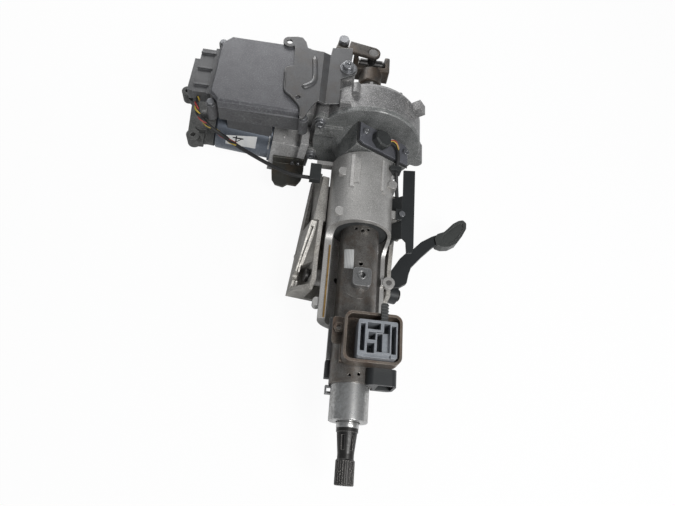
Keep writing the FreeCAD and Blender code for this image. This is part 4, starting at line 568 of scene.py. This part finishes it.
ring_centre = Vector((0.0015, 0.196, 0.0301))
ring_radius = 0.0042
ring_half_width, ring_half_height = 0.0009, 0.0007
hole_ring = bmesh.new()
bmesh.ops.create_circle(hole_ring, segments=10, radius=1.0, matrix=quarter_turn_back)
bmesh.ops.scale(hole_ring, vec=(ring_half_width, ring_half_height, 1.0), verts=hole_ring.verts)
bmesh.ops.rotate(
    hole_ring, cent=(0.0, 0.0, 0.0), matrix=Matrix.Rotation(math.radians(90.0), 3, "X"), verts=hole_ring.verts
)
bmesh.ops.translate(hole_ring, vec=ring_centre + Vector((ring_radius, 0.0, 0.0)), verts=hole_ring.verts)
bmesh.ops.spin(
    hole_ring, geom=hole_ring.verts[:] + hole_ring.edges[:], cent=ring_centre, axis=(0.0, 0.0, 1.0),
    angle=2 * math.pi, steps=40, use_merge=True
)
smooth(piece("stop_plate_ring", hole_ring, strip_steel, "slider"))

# The clamp bolt, the black folded side bracket and the pressed lever arm lock the two adjustments.
# The steel parts are coated black, and the lever ends in a moulded spoon grip.
grip_plastic = worn_skin(
    "grip_plastic", light=colour(66, 68, 66), dark=colour(48, 49, 48), edge=colour(128, 128, 126),
    metallic=0.0, roughness=0.36, depth=0.00002, wear_and_highlight=0.6, coat=0.15
)
dress(phosphate_steel, "clamp_bolt")
dress(black_steel, "side_bracket", "lever_arm")
dress(grip_plastic, "lever_grip")

# The gear housing is two aluminium castings. The front cover is held by four screws, and its skin is
# painted darker, with dark blots, as shade on its front face. The rear half carries the worm's bore
# and the bracket's ears.
gear_casting = worn_skin(
    "gear_casting", light=colour(154, 153, 153), dark=colour(108, 107, 107), edge=colour(222, 220, 216),
    metallic=0.45, roughness=0.42, grain=900.0, sparkle=0.6, stain=colour(62, 62, 60), stain_share=0.35
)
# Painted shade: the cover's darker tones and dark blots stand for the shade on its front face.
shaded_cover_casting = worn_skin(
    "shaded_cover_casting", light=colour(138, 139, 138), dark=colour(92, 94, 93), edge=colour(206, 204, 200),
    metallic=0.25, roughness=0.46, grain=900.0, sparkle=0.4, stain=colour(66, 68, 67), stain_share=0.55
)
zinc_steel = worn_skin(
    "zinc_steel", light=colour(144, 145, 148), dark=colour(100, 101, 104), edge=colour(212, 212, 212),
    metallic=0.6, roughness=0.36, grain=800.0
)
dress(gear_casting, "gear_housing")
dress(shaded_cover_casting, "gear_cover")
dress(zinc_steel, "housing_bolts")

# Star sockets: caps over the heads of the cover's two front screws and of the bracket's screw.
screw_steel = worn_skin(
    "screw_steel", light=colour(150, 151, 154), dark=colour(104, 105, 108), edge=colour(228, 228, 228),
    metallic=0.8, roughness=0.28, grain=700.0, depth=0.00002, wear_and_highlight=0.9
)
to_wheel = (0.0, -1.0, 0.0)
to_lock = (0.0, 0.0, 1.0)
lobe_depth, lobe_count = 0.13, 6
head_edge_share, edge_bend, socket_draft = 0.12, 0.35, 0.96


def star_head(shape, place, axis, radius, rise, star, depth, turns=48):
    """Adds a screw head with a six-lobed socket: its foot is at place, and it stands along axis."""
    stand = Matrix.Translation(place) @ Vector(axis).to_track_quat("Z", "Y").to_matrix().to_4x4()
    edge = head_edge_share * radius
    rings = (
        (radius, 0.0, 0.0), (radius, rise - edge, 0.0),
        (radius - edge_bend * edge, rise - edge_bend * edge, 0.0), (radius - edge, rise, 0.0),
        (star, rise, lobe_depth), (socket_draft * star, rise - depth, lobe_depth),
    )
    for vertex in straight_bar(shape, turns, len(rings)):
        size, height, lobes = rings[round(vertex.co.z)]
        reach = size * (1 + lobes * math.cos(lobe_count * math.atan2(vertex.co.y, vertex.co.x)))
        vertex.co = stand @ Vector((reach * vertex.co.x, reach * vertex.co.y, height))


cover_screws = ((-0.0587, 0.0381), (-0.0658, -0.0239))
cover_screw_front = 0.3732
bracket_screw = (-0.034, 0.448, 0.0604)
sockets = bmesh.new()
for centre_x, centre_z in cover_screws:
    star_head(
        sockets, (centre_x, cover_screw_front, centre_z), to_wheel, radius=0.0055, rise=0.0012, star=0.0026,
        depth=0.0009
    )
star_head(sockets, bracket_screw, to_lock, radius=0.0066, rise=0.0013, star=0.0030, depth=0.0010)
piece("housing_screw_sockets", sockets, screw_steel, "column")

# Inside the housing: the hollow input shaft, the torsion bar, the output shaft, the sensor's ring,
# the worm wheel's steel hub with its plastic rim, the two-start worm, and five ball bearings.
gear_plastic = worn_skin(
    "gear_plastic", light=colour(196, 186, 160), dark=colour(170, 160, 136), edge=colour(210, 204, 184),
    metallic=0.0, roughness=0.4
)
dress(
    turned_steel, "gearbox_bearings", "gearbox_races", "lower_shaft", "output_shaft", "sensor_rotor",
    "torsion_bar", "wheel_hub", "worm_bearings", "worm_races", "worm_shaft"
)
dress(gear_plastic, "worm_wheel")

# The worm housing is a light grey aluminium casting that bolts to the gear housing and carries the
# motor. Three small pips, cast on its front, show where it was pushed out of the die.
worm_casting = worn_skin(
    "worm_casting", light=colour(196, 195, 194), dark=colour(146, 145, 144), edge=colour(226, 224, 220),
    metallic=0.4, roughness=0.44, grain=900.0, sparkle=0.6
)
dress(worm_casting, "worm_housing")
motor_roll = math.radians(7.5)
pip_places = ((-0.0985, 0.3762), (-0.0868, 0.3764), (-0.0985, 0.3850))
pip_draft = 0.75
pip_foot = (0.0017, -0.01995, 0.0003)
pip_tip = (0.0010, -0.0196, 0.0004)
pips = bmesh.new()
for centre_x, station in pip_places:
    for radius, level, rise in (pip_foot, pip_tip):
        bmesh.ops.create_cone(
            pips, cap_ends=True, segments=24, radius1=radius, radius2=pip_draft * radius, depth=rise,
            matrix=Matrix.Rotation(motor_roll, 4, "Y") @ Matrix.Translation((centre_x, station, level))
        )
piece("worm_housing_pips", pips, worm_casting, "column")

# The assist motor's can is drawn from zinc-coated sheet, with its stator and rotor inside. It has a
# plain paper label, a spring clip at the worm housing and a dark cast bracket at its free end.
can_steel = worn_skin(
    "can_steel", light=colour(124, 130, 138), dark=colour(80, 86, 96), edge=colour(216, 216, 218),
    metallic=0.75, roughness=0.3, patch=40.0, depth=0.00003
)
dark_casting = worn_skin(
    "dark_casting", light=colour(88, 88, 86), dark=colour(50, 51, 50), edge=colour(160, 160, 158),
    metallic=0.35, roughness=0.48, sparkle=0.3
)
dress(can_steel, "motor_can")
dress(turned_steel, "motor_rotor", "motor_stator")
dress(dark_casting, "motor_end_bracket")
motor_station, motor_depth, motor_radius = 0.404, -0.050, 0.028
motor_label_thick, ink_lift, ink_thick, motor_clip_thick = 0.00012, 0.0001, 0.0001, 0.0009


def on_can(point, height):
    """A place on the motor's can: a distance along it, and an angle in degrees from the lock's side."""
    run, angle = point
    radius = motor_radius + height
    depth = motor_depth + radius * math.cos(math.radians(angle))
    return (
        run * math.cos(motor_roll) + depth * math.sin(motor_roll),
        motor_station + radius * math.sin(math.radians(angle)),
        depth * math.cos(motor_roll) - run * math.sin(motor_roll),
    )


def on_label(point, height):
    """A place on the motor's label, which lies on the can."""
    return on_can(point, height + ink_lift)


label_paper = printed("label_paper", ground=colour(210, 210, 208), mark=colour(196, 197, 198), stripes=500.0)
label_ink = worn_skin(
    "label_ink", light=colour(40, 40, 42), dark=colour(28, 28, 30), edge=colour(60, 60, 62), metallic=0.0,
    roughness=0.5, depth=0.00001, wear_and_highlight=0.0
)
motor_label_corners = ((-0.168, -58.0), (-0.131, -46.0), (-0.131, -80.0), (-0.168, -84.0))
digit_strokes = (
    ((-0.1565, -55.0), (-0.1550, -55.0), (-0.1550, -72.0), (-0.1565, -72.0)),
    ((-0.1600, -59.0), (-0.1470, -58.0), (-0.1470, -61.5), (-0.1600, -62.5)),
    ((-0.1485, -58.5), (-0.1470, -58.5), (-0.1550, -72.0), (-0.1565, -72.0)),
)
clip_corners = ((-0.1165, -38.0), (-0.1125, -38.0), (-0.1125, -72.0), (-0.1165, -72.0))
motor_label = sheet_on(motor_label_corners, on_can, motor_label_thick)
piece("motor_label", motor_label, label_paper, "column")
for index, corners in enumerate(digit_strokes):
    stroke = sheet_on(corners, on_label, ink_thick, rows=4, columns=4)
    piece("label_stroke_%d" % (index + 1), stroke, label_ink, "column")
motor_clip = sheet_on(clip_corners, on_can, motor_clip_thick)
piece("motor_clip", motor_clip, polished_steel, "column")

# The rear bracket is folded from steel sheet, olive grey with rust at its bends, and carries the
# motor and the gear housing on the car's side. Two small screws hold it at its front.
olive_steel = worn_skin(
    "olive_steel", light=colour(82, 82, 78), dark=colour(50, 50, 47), edge=colour(170, 166, 156),
    metallic=0.35, roughness=0.46, stain=colour(92, 74, 52), stain_share=0.35
)
dress(olive_steel, "rear_bracket")
rear_screws = ((-0.0883, 0.3716, -0.0404), (-0.0806, 0.3716, -0.0404))
screws = bmesh.new()
for place in rear_screws:
    star_head(screws, place, to_wheel, radius=0.0026, rise=0.0022, star=0.0012, depth=0.0008)
piece("rear_bracket_screws", screws, screw_steel, "column")

# The control unit is an aluminium tray and lid, pressure cast and left as cast. Seven screws hold
# the lid, and the stepped connector block stands on the tray's short side.
# The lid's large edge radius and edge tone paint a broad highlight along its rounded shoulder.
lid_casting = worn_skin(
    "lid_casting", light=colour(106, 106, 109), dark=colour(80, 80, 83), edge=colour(196, 196, 198),
    metallic=0.35, roughness=0.4, grain=1000.0, sparkle=0.35, radius=0.0014, wear_and_highlight=0.5
)
tray_casting = worn_skin(
    "tray_casting", light=colour(98, 98, 99), dark=colour(68, 68, 69), edge=colour(176, 176, 178),
    metallic=0.3, roughness=0.46, grain=1000.0, sparkle=0.3
)
dress(lid_casting, "ecu_lid")
dress(tray_casting, "ecu_base")
dress(zinc_steel, "case_screws")
dress(tray_casting, "ecu_connector")

# The bracket over the unit is a grey zinc-coated pressing, screwed to a post and to the lid's
# corner. A rolled bead stiffens it along its fold, and its free edge is hemmed.
bracket_steel = worn_skin(
    "bracket_steel", light=colour(106, 106, 107), dark=colour(80, 80, 81), edge=colour(206, 206, 204),
    metallic=0.4, roughness=0.36, stain=colour(88, 78, 66), stain_share=0.25
)
dress(bracket_steel, "ecu_bracket")
bead_level, bead_half_width, bead_half_height = 0.0623, 0.0033, 0.0021
bead_line = (
    (-0.0745, 0.4535), (-0.0728, 0.4380), (-0.0712, 0.4210), (-0.0728, 0.4120), (-0.0790, 0.4058),
    (-0.0850, 0.4030),
)
bead = bmesh.new()
sweep(
    bead, [(across, station, bead_level) for across, station in bead_line], bead_half_width,
    bead_half_height, sides=20, taper=4
)
smooth(piece("bracket_bead", bead, bracket_steel, "column"))
hem_level, hem_half_width, hem_half_height = 0.0615, 0.0014, 0.0018
hem_line = (
    (-0.1060, 0.4262), (-0.1044, 0.4100), (-0.1027, 0.3950), (-0.0936, 0.3863), (-0.0836, 0.3737),
    (-0.0820, 0.3592),
)
hem = bmesh.new()
sweep(
    hem, [(across, station, hem_level) for across, station in hem_line], hem_half_width, hem_half_height,
    sides=14, taper=2
)
smooth(piece("bracket_hem", hem, bracket_steel, "column"))

# The torque sensor sits in the cover's pocket under a zinc plate on a rubber gasket. Its round
# connector stands on the plate, and three thin wires leave it for the black sleeve.
plate_zinc = worn_skin(
    "plate_zinc", light=colour(122, 123, 129), dark=colour(94, 95, 101), edge=colour(200, 202, 208),
    metallic=0.5, roughness=0.38, patch=80.0
)
black_rubber = worn_skin(
    "black_rubber", light=colour(46, 46, 46), dark=colour(28, 28, 28), edge=colour(84, 84, 84),
    metallic=0.0, roughness=0.6, wear_and_highlight=0.3
)
dress(plate_zinc, "sensor_plate")
dress(black_rubber, "sensor_gasket")
dress(black_plastic, "torque_sensor")
millimetre = 0.001
pocket_cos, pocket_sin = 0.8829, 0.4695


def tilted(across, station, height):
    """A place on the sensor's tilted pocket, from millimetres across it, along Y and above it."""
    return (
        millimetre * (pocket_cos * across + pocket_sin * height),
        millimetre * station,
        millimetre * (pocket_cos * height - pocket_sin * across),
    )


off_plate = (pocket_sin, 0.0, pocket_cos)
plate_screws = ((-27.0, 366.0, 39.2), (32.0, 366.0, 39.2))
sockets = bmesh.new()
for place in plate_screws:
    star_head(sockets, tilted(*place), off_plate, radius=0.0040, rise=0.0011, star=0.0019, depth=0.0009)
piece("sensor_screw_sockets", sockets, screw_steel, "column")


def insulation(name, tone):
    """The soft skin of one thin wire."""
    return worn_skin(
        name, light=tone, dark=darker(tone, 0.6), edge=tone, metallic=0.0, roughness=0.4, depth=0.00001,
        wear_and_highlight=0.0
    )


wire_skins = {
    "red": insulation("red_wire_skin", colour(168, 58, 50)),
    "yellow": insulation("yellow_wire_skin", colour(196, 168, 66)),
    "black": insulation("black_wire_skin", colour(40, 40, 40)),
    "white": insulation("white_wire_skin", colour(200, 198, 192)),
}
wire_sides = 8
sensor_wire_radius = 0.0007
sensor_wires = {
    "red": ((3.2, 365.6, 42.6), (8.0, 367.4, 44.6), (13.0, 366.4, 44.4), (17.2, 361.0, 42.8)),
    "yellow": ((3.2, 364.0, 42.8), (7.0, 364.8, 45.4), (12.0, 363.0, 45.6), (16.6, 358.6, 43.4)),
    "white": ((3.2, 366.8, 41.8), (8.0, 369.2, 43.0), (14.0, 368.0, 43.0), (18.2, 362.2, 42.2)),
}
for tone, route in sensor_wires.items():
    wire = bmesh.new()
    sweep(wire, [tilted(*point) for point in route], sensor_wire_radius, sensor_wire_radius, wire_sides)
    smooth(piece("sensor_wire_" + tone, wire, wire_skins[tone], "column"))

# The universal joint is two forged yokes on a cross with four pressed cups, phosphated and oiled.
# The output yoke is brown from its heat treatment, and the clamp yoke is bare at its bore.
yoke_steel = worn_skin(
    "yoke_steel", light=colour(84, 79, 74), dark=colour(46, 43, 40), edge=colour(176, 170, 160),
    metallic=0.45, roughness=0.44, stain=colour(96, 78, 60), stain_share=0.4
)
cup_steel = worn_skin(
    "cup_steel", light=colour(122, 121, 119), dark=colour(84, 83, 81), edge=colour(200, 198, 194),
    metallic=0.6, roughness=0.36, depth=0.00002
)
dress(cup_steel, "fork_cups", "clamp_cups")
dress(phosphate_steel, "joint_cross")
dress(zinc_steel, "pinch_bolt")
weld_reach = 0.00002
forging_grid = 0.0007
forging_passes, forging_ease = 6, 0.5


def forged(name, node, body, material):
    """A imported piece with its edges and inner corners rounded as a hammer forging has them."""
    shape = bmesh.new()
    shape.from_mesh(nodes[node].data)
    bmesh.ops.remove_doubles(shape, verts=shape.verts, dist=weld_reach)
    made = piece(name, shape, material, body)
    grid = made.modifiers.new("grid", "REMESH")
    grid.mode = "VOXEL"
    grid.voxel_size = forging_grid
    grid.use_smooth_shade = True
    relaxed = made.modifiers.new("relaxed", "SMOOTH")
    relaxed.factor = forging_ease
    relaxed.iterations = forging_passes
    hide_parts(node)


forged("forged_output_yoke", "output_yoke", "lower_spindle", yoke_steel)
forged("forged_clamp_yoke", "clamp_yoke", "clamp_fork", yoke_steel)

# The two cables are bundles in a black sleeve, with a moulded plug and a clip. The left one leaves
# its sleeve short of the control unit, and goes on to the connector as three twisted wires.
dress(black_rubber, "sensor_cable_left", "sensor_cable_right")
dress(black_plastic, "cable_plug", "cable_clip")
bare_run = run_through((
    (-0.153, 0.3525, 0.006), (-0.173, 0.363, 0.009), (-0.188, 0.367, 0.018), (-0.198, 0.371, 0.030),
    (-0.201, 0.3795, 0.0365), (-0.201, 0.389, 0.0365),
))
twist_turns, twist_radius, left_wire_radius = 3.0, 0.0017, 0.0010
upwards = Vector((0.0, 0.0, 1.0))
for index, tone in enumerate(("red", "yellow", "black")):
    wound = []
    for step, place in enumerate(bare_run):
        ahead = bare_run[min(step + 1, len(bare_run) - 1)] - bare_run[max(step - 1, 0)]
        side = ahead.cross(upwards).normalized()
        rise = side.cross(ahead).normalized()
        turn = 2 * math.pi * (twist_turns * step / len(bare_run) + index / 3)
        wound.append(place + twist_radius * (side * math.cos(turn) + rise * math.sin(turn)))
    wire = bmesh.new()
    sweep(wire, wound, left_wire_radius, left_wire_radius, wire_sides)
    smooth(piece("left_wire_" + tone, wire, wire_skins[tone], "column"))
